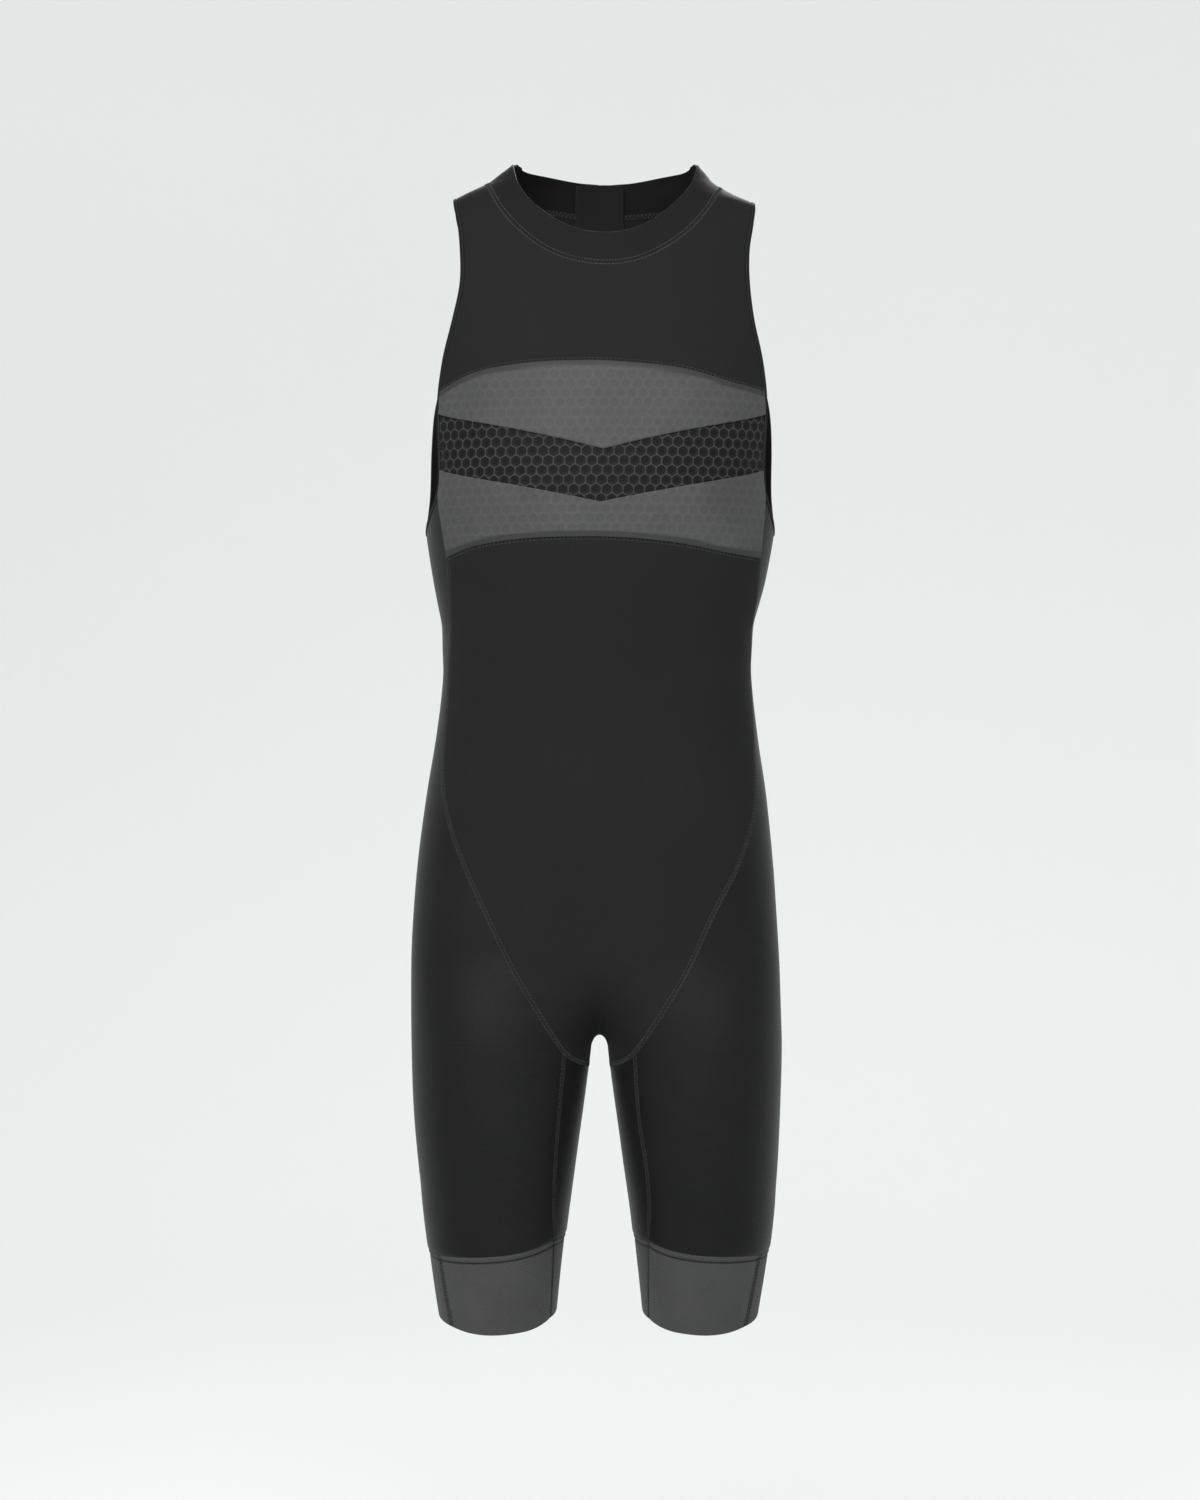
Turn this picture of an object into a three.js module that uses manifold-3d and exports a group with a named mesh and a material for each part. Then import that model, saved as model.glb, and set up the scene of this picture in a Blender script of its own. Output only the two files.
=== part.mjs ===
// A sleeveless one-piece triathlon suit in its worn, filled-out form, hollow inside.
// Millimetres, +Z up, the front faces -Y. The origin lies midway between the shoulder straps.
// Every panel is a sewn piece laid on one smooth body form and given the thickness of its cloth.
import * as THREE from "three";
import Module from "manifold-3d";

const wasm = await Module();
wasm.setup();

// Cloth and seams
const WALL = 1.6;
const SEAM_GAP = 0.3;
const OVERLAY_WALL = 1.0;
const BINDING_WIDTH = 4;
const CUFF_INSET = 1.2;

// Zip
const TAPE_HALF_WIDTH = 12;
const TAPE_WALL = 1.0;
const TAPE_CLEARANCE = 0.6;
const GUARD_HALF_WIDTH = 21;
const GUARD_SHIFT = -5;
const GUARD_WALL = 1.2;
const GUARD_CLEARANCE = 0.4;
const CHAIN_HALF_WIDTH = 2.5;
const CHAIN_WALL = 1.8;
const SLIDER_LENGTH = 11;
const SLIDER_WIDTH = 9;
const SLIDER_HEIGHT = 3.2;
const SLIDER_CORNER = 0.6;
const BRIDGE_WIDTH = 3;
const BRIDGE_WALL = 1.2;
const BRIDGE_REACH = 2.8;
const BRIDGE_SINK = 0.5;
const BRIDGE_RISE = 2.7;
const BRIDGE_CORNER = 0.8;
const PIVOT_HEIGHT = 1.4;
const TAB_LENGTH = 23;
const TAB_WIDTH = 7.6;
const TAB_WALL = 1.4;
const TAB_WINDOW = 4.6;
const TAB_WINDOW_PLAY = 0.7;
const TAB_ROUND = 2.6;

// The form: one row for each level, from the collar down to the hem.
// neg and pos are the half widths to the -X and +X side, front and back the depths,
// inner is half the gap between the legs, and square and legSquare are the powers of the outlines
// of the trunk's ring and of a leg's.
const LEVELS = ["z", "neg", "pos", "front", "back", "inner", "square", "legSquare"];
const SECTIONS = [
  [24, 70, 80, 52, 60, 0, 2, 2.35],
  [15, 82, 88, 57, 66, 0, 2, 2.35],
  [6, 94, 96, 60, 71, 0, 2, 2.35],
  [-3, 113, 112, 62, 76, 0, 2, 2.35],
  [-12, 129, 132, 64, 80, 0, 2.05, 2.35],
  [-30, 141, 147, 67, 86, 0, 2.1, 2.35],
  [-60, 149, 156, 74, 94, 0, 2.2, 2.35],
  [-100, 152, 158, 86, 102, 0, 2.3, 2.35],
  [-160, 150, 155, 97, 107, 0, 2.35, 2.35],
  [-220, 147, 150, 102, 106, 0, 2.35, 2.35],
  [-275, 144.5, 146, 101, 101, 0, 2.35, 2.35],
  [-320, 138, 138, 97, 94, 0, 2.3, 2.35],
  [-360, 131.5, 128, 92, 88, 0, 2.3, 2.35],
  [-400, 130, 126, 88, 84, 0, 2.3, 2.35],
  [-450, 135, 131, 86, 85, 0, 2.35, 2.35],
  [-500, 143.5, 138, 86, 93, 0, 2.45, 2.35],
  [-560, 151, 144, 85, 103, 0, 2.6, 2.35],
  [-620, 155, 148, 84, 107, 0, 2.85, 2.35],
  [-670, 156, 150, 83, 105, 4, 3.1, 2.35],
  [-705, 155.5, 151, 82, 100, 6.5, 3.1, 2.3],
  [-745, 154.5, 150.5, 81, 93, 11.5, 3, 2.2],
  [-800, 150.5, 148, 77, 84, 19, 3, 2.15],
  [-850, 145.5, 144.5, 71, 77, 26, 3, 2.1],
  [-885, 141, 140, 67, 72, 30, 3, 2.1],
  [-945, 132, 130, 58, 64, 36, 3, 2.1],
];
const LEGS_ONLY_BELOW = -708;
const TRUNK_ONLY_ABOVE = -628;
const LEG_JOIN = 10;
const TRUNK_SCALE = 90;
const LEG_SCALE = 75;

// Seam tables. Columns x, y, z give a guide point near the form, and cells is 0 for a plain guide,
// or at a stop the number of grid cells back to the stop before it.
const NECK_SEAM = [
  [-1, 77.5, -8, 0],
  [-28, 74, -6, 0],
  [-62, 60, -2, 0],
  [-86, 35, 4, 0],
  [-94, -2, 7, 8],
  [-91, -34, 0, 0],
  [-78, -55, -24, 0],
  [-64, -63, -40, 0],
  [-44, -70, -56, 0],
  [-20, -75, -66, 0],
  [5, -77, -69, 9],
  [29, -75, -66, 0],
  [54, -69, -54, 0],
  [72, -62, -40, 0],
  [84, -54, -26, 0],
  [99, -33, -1, 0],
  [102, -2, 5, 9],
  [96, 35, 3, 0],
  [72, 60, -2, 0],
  [38, 74, -6, 0],
  [11, 77.5, -8, 8],
];
const COLLAR_TOP = [
  [-1, 63, 18, 0],
  [-18, 60, 19, 0],
  [-40, 50, 21.5, 0],
  [-61, 32, 23, 0],
  [-70.5, -2, 23.5, 8],
  [-71, -25, 17, 0],
  [-67, -46, 2, 0],
  [-59, -57, -12, 0],
  [-49, -62, -22, 0],
  [-34, -66, -33, 0],
  [-15, -69, -41, 0],
  [5, -70, -43.5, 9],
  [24, -69, -41, 0],
  [42, -66, -33, 0],
  [56, -61, -22, 0],
  [66, -56, -12, 0],
  [76, -44, 2, 0],
  [81, -22, 17, 0],
  [80.5, -2, 23.5, 9],
  [72, 32, 23, 0],
  [50, 50, 21.5, 0],
  [28, 60, 19, 0],
  [11, 63, 18, 8],
];
// Columns neg, pos, y, z, cells: neg and pos are x on the two sides.
const ARMHOLE = [
  [-121, 130, 0, -8, 0],
  [-119, 129, -23, -14, 0],
  [-116, 127, -39, -32, 3],
  [-114, 123, -49, -55, 0],
  [-114, 123, -58, -85, 0],
  [-120, 126, -61, -114, 0],
  [-128, 133, -58, -146, 0],
  [-131.5, 136, -55, -171, 6],
  [-132.5, 137, -54, -190, 1],
  [-132, 136.5, -54, -235, 2],
  [-132.5, 138, -50, -253, 1],
  [-138, 142, -38, -267, 0],
  [-143, 146, -18, -279, 0],
  [-145, 147.5, -2, -282, 0],
  [-145, 147, 14, -275, 0],
  [-143, 145, 30, -254, 16],
  [-142, 144, 37, -215, 0],
  [-140, 143.5, 46, -180, 0],
  [-134, 139, 57, -150, 0],
  [-125, 131, 67, -115, 0],
  [-119, 126, 70, -85, 0],
  [-116, 124, 64, -55, 0],
  [-117, 126, 50, -32, 0],
  [-120, 129, 26, -13, 10],
  [-121, 130, 0, -8, 3],
];
// Columns negX, negY, posX, posY, z, cells. The first guide is the lower front corner of the armhole.
const FRONT_SEAM = [
  [-124, -54, 131, -44, -306, 3],
  [-121, -43, 126, -24, -356, 0],
  [-124, -34, 125, -17, -398, 0],
  [-126, -36, 126, -25, -436, 0],
  [-128, -42, 127, -36, -474, 0],
  [-123, -55, 125, -47, -515, 7],
  [-108, -67, 110, -61, -557, 0],
  [-91, -74, 91, -71, -594, 0],
  [-70, -79, 71, -77, -638, 0],
  [-48, -79, 49, -79, -676, 0],
  [-28, -64, 28, -64, -707, 9],
  [-17, -47, 18, -48, -716, 0],
  [-9, -20, 10, -20, -721, 0],
  [-9, 4, 10, 4, -722, 0],
  [-11, 24, 12, 24, -721, 5],
  [-18, 45, 19, 45, -716, 0],
  [-28, 64, 29, 64, -708, 4],
];
const BACK_SEAM = [
  [-127, 48, 128, 48, -306, 0],
  [-121, 42, 118, 42, -356, 0],
  [-118, 42, 114, 42, -400, 0],
  [-119, 48, 115, 48, -450, 0],
  [-120, 60, 115, 60, -500, 10],
  [-111, 76, 106, 76, -545, 0],
  [-90, 92, 86, 92, -590, 0],
  [-70, 99, 70, 99, -636, 0],
  [-50, 98, 51, 98, -674, 5],
  [-28, 64, 29, 64, -708, 4],
];
const INNER_FRONT_SEAM = [
  [-32.5, -59, 31, -59, -758, 0],
  [-36, -54, 38, -57, -800, 0],
  [-37, -47, 41, -51, -836, 0],
  [-37, -38, 40.5, -43, -862, 6],
];
const INNER_BACK_SEAM = [
  [-33, 66, 32, 66, -758, 0],
  [-36, 60, 38, 60, -800, 0],
  [-37, 50, 41, 52, -836, 0],
  [-38, 42, 40.5, 44, -866, 6],
];
// Columns negX, posX, y, z, cells, round one leg from the inner front corner.
const CUFF_TOP = [
  [-48, 52, -54, -866, 0],
  [-68, 73, -66, -870, 0],
  [-89, 96, -68, -872, 0],
  [-110, 116, -60, -873, 0],
  [-131, 133, -41, -874, 6],
  [-142, 141, -6, -873, 0],
  [-134, 133, 40, -871, 0],
  [-110, 112, 66, -869, 0],
  [-85, 88, 73, -868, 0],
  [-60, 63, 66, -867, 0],
  [-38, 40.5, 42, -866, 10],
  [-28, 32, 2, -861, 0],
  [-37, 40.5, -40, -862, 9],
];
const HEM = [
  [-38, 42, -27, -929, 0],
  [-53, 55, -48, -935, 0],
  [-71, 70, -57, -937, 0],
  [-89, 87, -59, -938, 0],
  [-105, 104, -54, -937, 0],
  [-122, 121, -41, -934, 6],
  [-135, 134, 0, -929, 0],
  [-128, 127, 38, -925, 0],
  [-108, 107, 58, -923, 0],
  [-85, 84, 63, -922, 0],
  [-62, 62, 58, -922, 0],
  [-45, 47, 42, -923, 10],
  [-34, 37, 2, -926, 0],
  [-38, 42, -27, -929, 9],
];
// Columns x, y, z, cells.
const CENTRE_FRONT = [
  [5, -77, -69, 0],
  [4, -90, -110, 0],
  [4, -96, -150.5, 6],
  [3, -102, -222, 3],
  [1, -102, -264, 2],
  [0, -100, -292, 2],
  [-1, -92, -360, 0],
  [-2, -87, -430, 0],
  [-2, -86, -520, 0],
  [-1, -84, -620, 0],
  [0, -76, -662, 0],
  [0, -54, -688, 16],
  [0, -28, -700, 0],
  [0, 0, -703, 0],
  [0, 26, -702, 5],
];
// Columns x, open, y, z, cells: open is half the width of the zip's slot.
const CENTRE_BACK = [
  [5, 6, 63, 18, 0],
  [5, 6, 77.5, -8, 2],
  [4, 6, 94, -60, 0],
  [3, 6, 102, -100, 0],
  [2, 6, 107, -160, 0],
  [1, 6, 106, -220, 0],
  [0, 6, 101, -275, 0],
  [0, 6, 94, -320, 0],
  [-1, 6, 88, -360, 0],
  [-2, 6, 84, -392, 15],
  [-2, 0, 84, -418, 1],
  [-3, 0, 93, -500, 0],
  [-3, 0, 103, -560, 0],
  [-3, 0, 107, -620, 0],
  [-1, 0, 98, -662, 9],
  [0, 0, 70, -690, 0],
  [0, 0, 26, -702, 4],
];
// Columns x, y, z, cells.
const CHEST_TOP_NEG = [
  [-99, -79, -158, 0],
  [-58, -91, -152, 0],
  [-17, -95, -150.5, 0],
  [4, -96, -150.5, 9],
];
const CHEST_TOP_POS = [
  [24, -95.5, -152, 0],
  [65, -91, -156, 0],
  [106, -78, -166, 0],
];
const CHEST_LOW_NEG = [
  [-99, -77, -298, 0],
  [-57, -94, -293, 0],
  [-17, -99.5, -292, 0],
  [0, -100, -292, 9],
];
const CHEST_LOW_POS = [
  [24, -99, -293, 0],
  [65, -92, -297, 0],
  [107, -72, -304, 0],
];
const HALF_COLUMNS = 9;
const STRAP_ROWS = 3;
const ROUND_CELLS = 16;
const HIP_RING = [[-146, 140, 2, -508, 0]];
const THIGH_RING = [
  [-76, 74, -83, -712, 0],
  [-130, 126, -58, -712, 0],
  [-155, 151, 0, -712, 0],
  [-132, 128, 64, -711, 0],
  [-78, 76, 98, -710, 0],
];
const SHOULDER_CELLS = 3;

// Colours
const BLACK_KNIT = 0x26272a;
const SIDE_KNIT = 0x2c2d30;
const HONEYCOMB = 0x1f2023;
const OVERLAY_GREY = 0x5a5c60;
const CUFF_GREY = 0x47494d;
const EDGE_BLACK = 0x1c1d1f;
const TAPE_BLACK = 0x18191b;
const METAL_DARK = 0x3a3c40;

// The form
function levelTangents() {
  const tangents = [];
  for (let row = 0; row < SECTIONS.length; row += 1) {
    const above = SECTIONS[Math.max(row - 1, 0)];
    const here = SECTIONS[row];
    const below = SECTIONS[Math.min(row + 1, SECTIONS.length - 1)];
    const up = here[0] - above[0];
    const down = below[0] - here[0];
    const tangent = here.map((value, column) => {
      const slopeUp = up === 0 ? 0 : (value - above[column]) / up;
      const slopeDown = down === 0 ? 0 : (below[column] - value) / down;
      if (up === 0) return slopeDown;
      if (down === 0) return slopeUp;
      return (slopeUp * down + slopeDown * up) / (up + down);
    });
    tangents.push(tangent);
  }
  return tangents;
}
const TANGENTS = levelTangents();

function levelAt(height) {
  const top = SECTIONS[0][0];
  const bottom = SECTIONS[SECTIONS.length - 1][0];
  const z = Math.min(Math.max(height, bottom), top);
  let row = 0;
  while (row < SECTIONS.length - 2 && SECTIONS[row + 1][0] > z) {
    row += 1;
  }
  const start = SECTIONS[row];
  const end = SECTIONS[row + 1];
  const step = end[0] - start[0];
  const t = (z - start[0]) / step;
  const level = {};
  LEVELS.forEach((name, column) => {
    const a = (2 * t - 3) * t * t + 1;
    const b = ((t - 2) * t + 1) * t * step;
    const c = (3 - 2 * t) * t * t;
    const d = (t - 1) * t * t * step;
    level[name] = a * start[column] + b * TANGENTS[row][column] + c * end[column] + d * TANGENTS[row + 1][column];
  });
  return level;
}

function ringValue(dx, y, halfWidth, level, power) {
  const depth = y < 0 ? level.front : level.back;
  const sum = (Math.abs(dx) / halfWidth) ** power + (Math.abs(y) / depth) ** power;
  return sum ** (1 / power) - 1;
}

function formValue(x, y, z) {
  const level = levelAt(z);
  const trunkCentre = (level.pos - level.neg) / 2;
  const trunk = ringValue(x - trunkCentre, y, (level.pos + level.neg) / 2, level, level.square) * TRUNK_SCALE;
  const negCentre = -(level.neg + level.inner) / 2;
  const posCentre = (level.pos + level.inner) / 2;
  const negHalf = (level.neg - level.inner) / 2;
  const posHalf = (level.pos - level.inner) / 2;
  const negLeg = ringValue(x - negCentre, y, negHalf, level, level.legSquare) * LEG_SCALE;
  const posLeg = ringValue(x - posCentre, y, posHalf, level, level.legSquare) * LEG_SCALE;
  const near = Math.max(LEG_JOIN - Math.abs(negLeg - posLeg), 0) / LEG_JOIN;
  const legs = Math.min(negLeg, posLeg) - near * near * LEG_JOIN / 4;
  const rise = (z - LEGS_ONLY_BELOW) / (TRUNK_ONLY_ABOVE - LEGS_ONLY_BELOW);
  const t = Math.min(Math.max(rise, 0), 1);
  const share = t * t * (3 - 2 * t);
  return legs * (1 - share) + trunk * share;
}

function formSlope(p) {
  const e = 0.05;
  const sx = (formValue(p.x + e, p.y, p.z) - formValue(p.x - e, p.y, p.z)) / (2 * e);
  const sy = (formValue(p.x, p.y + e, p.z) - formValue(p.x, p.y - e, p.z)) / (2 * e);
  const sz = (formValue(p.x, p.y, p.z + e) - formValue(p.x, p.y, p.z - e)) / (2 * e);
  return new THREE.Vector3(sx, sy, sz);
}

function ontoForm(point) {
  const p = point.clone();
  for (let pass = 0; pass < 14; pass += 1) {
    const value = formValue(p.x, p.y, p.z);
    const slope = formSlope(p);
    const step = Math.min(Math.max(value / Math.max(slope.lengthSq(), 1e-6), -25), 25);
    p.addScaledVector(slope, -step);
  }
  return p;
}

// Seams
function seamParts(guides) {
  const points = guides.map((guide) => ontoForm(guide.point));
  const curve = new THREE.CatmullRomCurve3(points, false, "centripetal");
  const last = points.length - 1;
  const parts = [];
  let from = 0;
  guides.forEach((guide, index) => {
    if (guide.cells > 0) {
      parts.push(evenPoints(curve, from / last, index / last, guide.cells));
      from = index;
    }
  });
  return parts;
}

function evenPoints(curve, start, end, cells) {
  const fine = 24 * cells;
  const samples = [];
  const lengths = [0];
  for (let k = 0; k <= fine; k += 1) {
    samples.push(curve.getPoint(start + (end - start) * k / fine));
    if (k > 0) lengths.push(lengths[k - 1] + samples[k].distanceTo(samples[k - 1]));
  }
  const points = [];
  for (let cell = 0; cell <= cells; cell += 1) {
    const want = lengths[fine] * cell / cells;
    let k = 0;
    while (k < fine - 1 && lengths[k + 1] < want) {
      k += 1;
    }
    const part = (want - lengths[k]) / (lengths[k + 1] - lengths[k]);
    points.push(ontoForm(samples[k].clone().lerp(samples[k + 1], part)));
  }
  return points;
}

function straightSeam(start, end, cells) {
  const points = [];
  for (let cell = 0; cell <= cells; cell += 1) {
    points.push(ontoForm(start.clone().lerp(end, cell / cells)));
  }
  points[0] = start;
  points[cells] = end;
  return points;
}

function guide(x, y, z, cells) {
  return { point: new THREE.Vector3(x, y, z), cells };
}

function plainGuides(table) {
  return table.map(([x, y, z, cells]) => guide(x, y, z, cells));
}

function sideGuides(table, side) {
  return table.map(([neg, pos, y, z, cells]) => guide(side < 0 ? neg : pos, y, z, cells));
}

function pairGuides(table, side) {
  return table.map(([negX, negY, posX, posY, z, cells]) => {
    return side < 0 ? guide(negX, negY, z, cells) : guide(posX, posY, z, cells);
  });
}

function slotGuides(table, side, share = 1) {
  return table.map(([x, open, y, z, cells]) => guide(x + side * open * share, y, z, cells));
}

function joined(...parts) {
  const points = [];
  for (const part of parts) {
    for (const point of part) {
      if (points.length === 0 || points[points.length - 1].distanceTo(point) > 1e-6) points.push(point);
    }
  }
  return points;
}

function reversed(points) {
  return points.slice().reverse();
}

// A patch between four edges: low and top run one way, start and end the other.
function patch(low, top, start, end) {
  const columns = low.length - 1;
  const rows = start.length - 1;
  const grid = [];
  for (let j = 0; j <= rows; j += 1) {
    const v = j / rows;
    const line = [];
    for (let i = 0; i <= columns; i += 1) {
      const u = i / columns;
      if (j === 0) line.push(low[i]);
      else if (j === rows) line.push(top[i]);
      else if (i === 0) line.push(start[j]);
      else if (i === columns) line.push(end[j]);
      else {
        const p = new THREE.Vector3();
        p.addScaledVector(low[i], 1 - v).addScaledVector(top[i], v);
        p.addScaledVector(start[j], 1 - u).addScaledVector(end[j], u);
        p.addScaledVector(low[0], -(1 - u) * (1 - v)).addScaledVector(low[columns], -u * (1 - v));
        p.addScaledVector(top[0], -(1 - u) * v).addScaledVector(top[columns], -u * v);
        line.push(ontoForm(p));
      }
    }
    grid.push(line);
  }
  return grid;
}

function besideEachOther(first, second) {
  return first.map((line, j) => line.concat(second[j].slice(1)));
}

// Cloth: a piece is one or more patches that share edges. Their points give the outer face, moved out
// by lift, and wall is the thickness inwards. The free edge moves in by gap, so neighbours never touch.
function clothGeometry(grids, { lift = 0, wall = WALL, gap = SEAM_GAP / 2 } = {}) {
  const points = [];
  const known = new Map();
  const indexOf = (point) => {
    const key = [point.x, point.y, point.z].map((value) => value.toFixed(3)).join(" ");
    if (!known.has(key)) {
      known.set(key, points.length);
      points.push(point);
    }
    return known.get(key);
  };
  const skin = [];
  for (const grid of grids) {
    const flip = windingSign(grid) < 0;
    for (let j = 0; j < grid.length - 1; j += 1) {
      for (let i = 0; i < grid[j].length - 1; i += 1) {
        const corners = [grid[j][i], grid[j][i + 1], grid[j + 1][i + 1], grid[j + 1][i]].map(indexOf);
        const [a, b, c, d] = flip ? corners.reverse() : corners;
        skin.push([a, b, c], [a, c, d]);
      }
    }
  }
  const faces = skin.filter(([a, b, c]) => a !== b && b !== c && c !== a);
  const directed = new Set(faces.flatMap(([a, b, c]) => [`${a} ${b}`, `${b} ${c}`, `${c} ${a}`]));
  const border = [];
  for (const [a, b, c] of faces) {
    for (const [from, to] of [[a, b], [b, c], [c, a]]) {
      if (!directed.has(`${to} ${from}`)) border.push([from, to]);
    }
  }
  const normals = points.map((point) => formSlope(point).normalize());
  const base = points.map((point) => point.clone());
  const previous = new Map(border.map(([from, to]) => [to, from]));
  for (const [here, next] of border) {
    const before = inwardSide(points[previous.get(here)], points[here], normals[here]);
    const after = inwardSide(points[here], points[next], normals[here]);
    const spread = Math.max(1 + before.dot(after), 0.25);
    base[here].addScaledVector(before.add(after), gap / spread);
  }
  const positions = [];
  for (const depth of [lift, lift - wall]) {
    base.forEach((point, k) => {
      const moved = point.clone().addScaledVector(normals[k], depth);
      positions.push(moved.x, moved.y, moved.z);
    });
  }
  const under = points.length;
  const triangles = [];
  for (const [a, b, c] of faces) triangles.push(a, b, c, under + a, under + c, under + b);
  for (const [a, b] of border) triangles.push(b, a, under + a, b, under + a, under + b);
  const geometry = new THREE.BufferGeometry();
  geometry.setAttribute("position", new THREE.Float32BufferAttribute(positions, 3));
  geometry.setIndex(triangles);
  geometry.computeVertexNormals();
  return geometry;
}

function inwardSide(from, to, normal) {
  const along = to.clone().sub(from);
  along.addScaledVector(normal, -along.dot(normal)).normalize();
  return normal.clone().cross(along);
}

function windingSign(grid) {
  let total = 0;
  for (let j = 0; j < grid.length - 1; j += 1) {
    for (let i = 0; i < grid[j].length - 1; i += 1) {
      const across = grid[j + 1][i + 1].clone().sub(grid[j][i]);
      const along = grid[j + 1][i].clone().sub(grid[j][i + 1]);
      total += across.cross(along).dot(formSlope(grid[j][i]));
    }
  }
  return total;
}

// Solids joined or cut with manifold
function toSolid(geometry) {
  const plain = geometry.index ? geometry.toNonIndexed() : geometry;
  const position = plain.getAttribute("position");
  const known = new Map();
  const vertices = [];
  const triangles = [];
  for (let k = 0; k < position.count; k += 1) {
    const spot = [position.getX(k), position.getY(k), position.getZ(k)].map((value) => Math.fround(value));
    const key = spot.map((value) => value.toFixed(4)).join(" ");
    if (!known.has(key)) {
      known.set(key, vertices.length / 3);
      vertices.push(...spot);
    }
    triangles.push(known.get(key));
  }
  const mesh = new wasm.Mesh({
    numProp: 3,
    vertProperties: new Float32Array(vertices),
    triVerts: new Uint32Array(triangles),
  });
  return new wasm.Manifold(mesh);
}

function toGeometry(solid) {
  const mesh = solid.getMesh();
  const geometry = new THREE.BufferGeometry();
  geometry.setAttribute("position", new THREE.Float32BufferAttribute(mesh.vertProperties, 3));
  geometry.setIndex(Array.from(mesh.triVerts));
  geometry.computeVertexNormals();
  return geometry;
}

// All seams of one side: -1 is the -X side and 1 the +X side.
function sideSeams(side) {
  const armGuides = sideGuides(ARMHOLE, side);
  armGuides.pop();
  const armCurve = new THREE.CatmullRomCurve3(armGuides.map((g) => ontoForm(g.point)), true, "centripetal");
  const armEdge = [];
  const armCells = [];
  const last = armGuides.length;
  let from = 0;
  const closing = armGuides.concat([{ cells: ARMHOLE[ARMHOLE.length - 1][4] }]);
  closing.forEach((g, index) => {
    if (g.cells > 0) {
      armEdge.push(evenPoints(armCurve, from / last, index / last, g.cells));
      armCells.push(g.cells);
      from = index;
    }
  });
  const edge = joined(...armEdge);
  edge.pop();
  const band = edge.map((point, index) => {
    const before = edge[(index + edge.length - 1) % edge.length];
    const after = edge[(index + 1) % edge.length];
    const normal = formSlope(point).normalize();
    const along = after.clone().sub(before).normalize();
    const away = normal.clone().cross(along).multiplyScalar(side < 0 ? 1 : -1);
    return ontoForm(point.clone().addScaledVector(away, BINDING_WIDTH));
  });
  const piece = [];
  let at = 0;
  for (const cells of armCells) {
    const part = [];
    for (let k = 0; k <= cells; k += 1) part.push(band[(at + k) % band.length]);
    piece.push(part);
    at += cells;
  }
  const [armStrap, armYoke, armUpper, armMiddle, armLower, armUnder, armBack, armBackStrap] = piece;
  const frontCorner = armLower[armLower.length - 1];
  const backCorner = armUnder[armUnder.length - 1];
  const front = seamParts([{ point: frontCorner, cells: 0 }, ...pairGuides(FRONT_SEAM, side)]);
  const [chestSide, frontWaist, frontHip, crotchSide, crotchBack] = front;
  const frontKnee = frontHip[frontHip.length - 1];
  const backKnee = crotchBack[crotchBack.length - 1];
  const backGuides = [{ point: backCorner, cells: 0 }, ...pairGuides(BACK_SEAM, side)];
  backGuides[backGuides.length - 1].point = backKnee;
  const [backWaist, backHip, backSeat] = seamParts(backGuides);
  const [innerFront] = seamParts([{ point: frontKnee, cells: 0 }, ...pairGuides(INNER_FRONT_SEAM, side)]);
  const [innerBack] = seamParts([{ point: backKnee, cells: 0 }, ...pairGuides(INNER_BACK_SEAM, side)]);
  const cuffFront = innerFront[innerFront.length - 1];
  const cuffBack = innerBack[innerBack.length - 1];
  const cuffGuides = [{ point: cuffFront, cells: 0 }, ...sideGuides(CUFF_TOP, side)];
  cuffGuides[cuffGuides.length - 1].point = cuffFront;
  cuffGuides[cuffGuides.length - 3].point = cuffBack;
  const cuffTop = seamParts(cuffGuides);
  const hem = seamParts(sideGuides(HEM, side));
  return {
    edge, band, armStrap, armYoke, armUpper, armMiddle, armLower, armUnder, armBack, armBackStrap,
    chestSide, frontWaist, frontHip, crotchSide, crotchBack, backWaist, backHip, backSeat,
    innerFront, innerBack, cuffTop, hem,
  };
}

const neg = sideSeams(-1);
const pos = sideSeams(1);
const [neckBackNeg, neckFrontNeg, neckFrontPos, neckBackPos] = seamParts(plainGuides(NECK_SEAM));
const [topBackNeg, topFrontNeg, topFrontPos, topBackPos] = seamParts(plainGuides(COLLAR_TOP));
const centreFront = seamParts(plainGuides(CENTRE_FRONT));
const [centreYoke, centreUpper, centreMiddle, centreLower, centreBody, centreCrotch] = centreFront;
const slotNeg = seamParts(slotGuides(CENTRE_BACK, -1));
const slotPos = seamParts(slotGuides(CENTRE_BACK, 1));
const zipLine = seamParts(slotGuides(CENTRE_BACK, 1, 0));

function shoulderSeam(side) {
  const tip = side < 0 ? neg.band[0] : pos.band[0];
  const neck = side < 0 ? neckFrontNeg[0] : neckBackPos[0];
  return straightSeam(tip, neck, SHOULDER_CELLS);
}
const shoulderNeg = shoulderSeam(-1);
const shoulderPos = shoulderSeam(1);

function edgeToCentre(edgePoint, table, centrePoint) {
  const guides = [{ point: edgePoint, cells: 0 }, ...plainGuides(table)];
  guides[guides.length - 1] = { point: centrePoint, cells: HALF_COLUMNS };
  return seamParts(guides)[0];
}
function lastOf(points) {
  return points[points.length - 1];
}
const chestTopNeg = edgeToCentre(neg.armUpper[0], CHEST_TOP_NEG, centreUpper[0]);
const posTopTable = reversed(CHEST_TOP_POS).concat([[0, 0, 0, HALF_COLUMNS]]);
const chestTopPos = edgeToCentre(pos.armUpper[0], posTopTable, centreUpper[0]);
const chestLowNeg = edgeToCentre(lastOf(neg.chestSide), CHEST_LOW_NEG, lastOf(centreLower));
const posLowTable = reversed(CHEST_LOW_POS).concat([[0, 0, 0, HALF_COLUMNS]]);
const chestLowPos = edgeToCentre(lastOf(pos.chestSide), posLowTable, lastOf(centreLower));
const veeTopNeg = straightSeam(neg.armMiddle[0], centreMiddle[0], HALF_COLUMNS);
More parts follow.
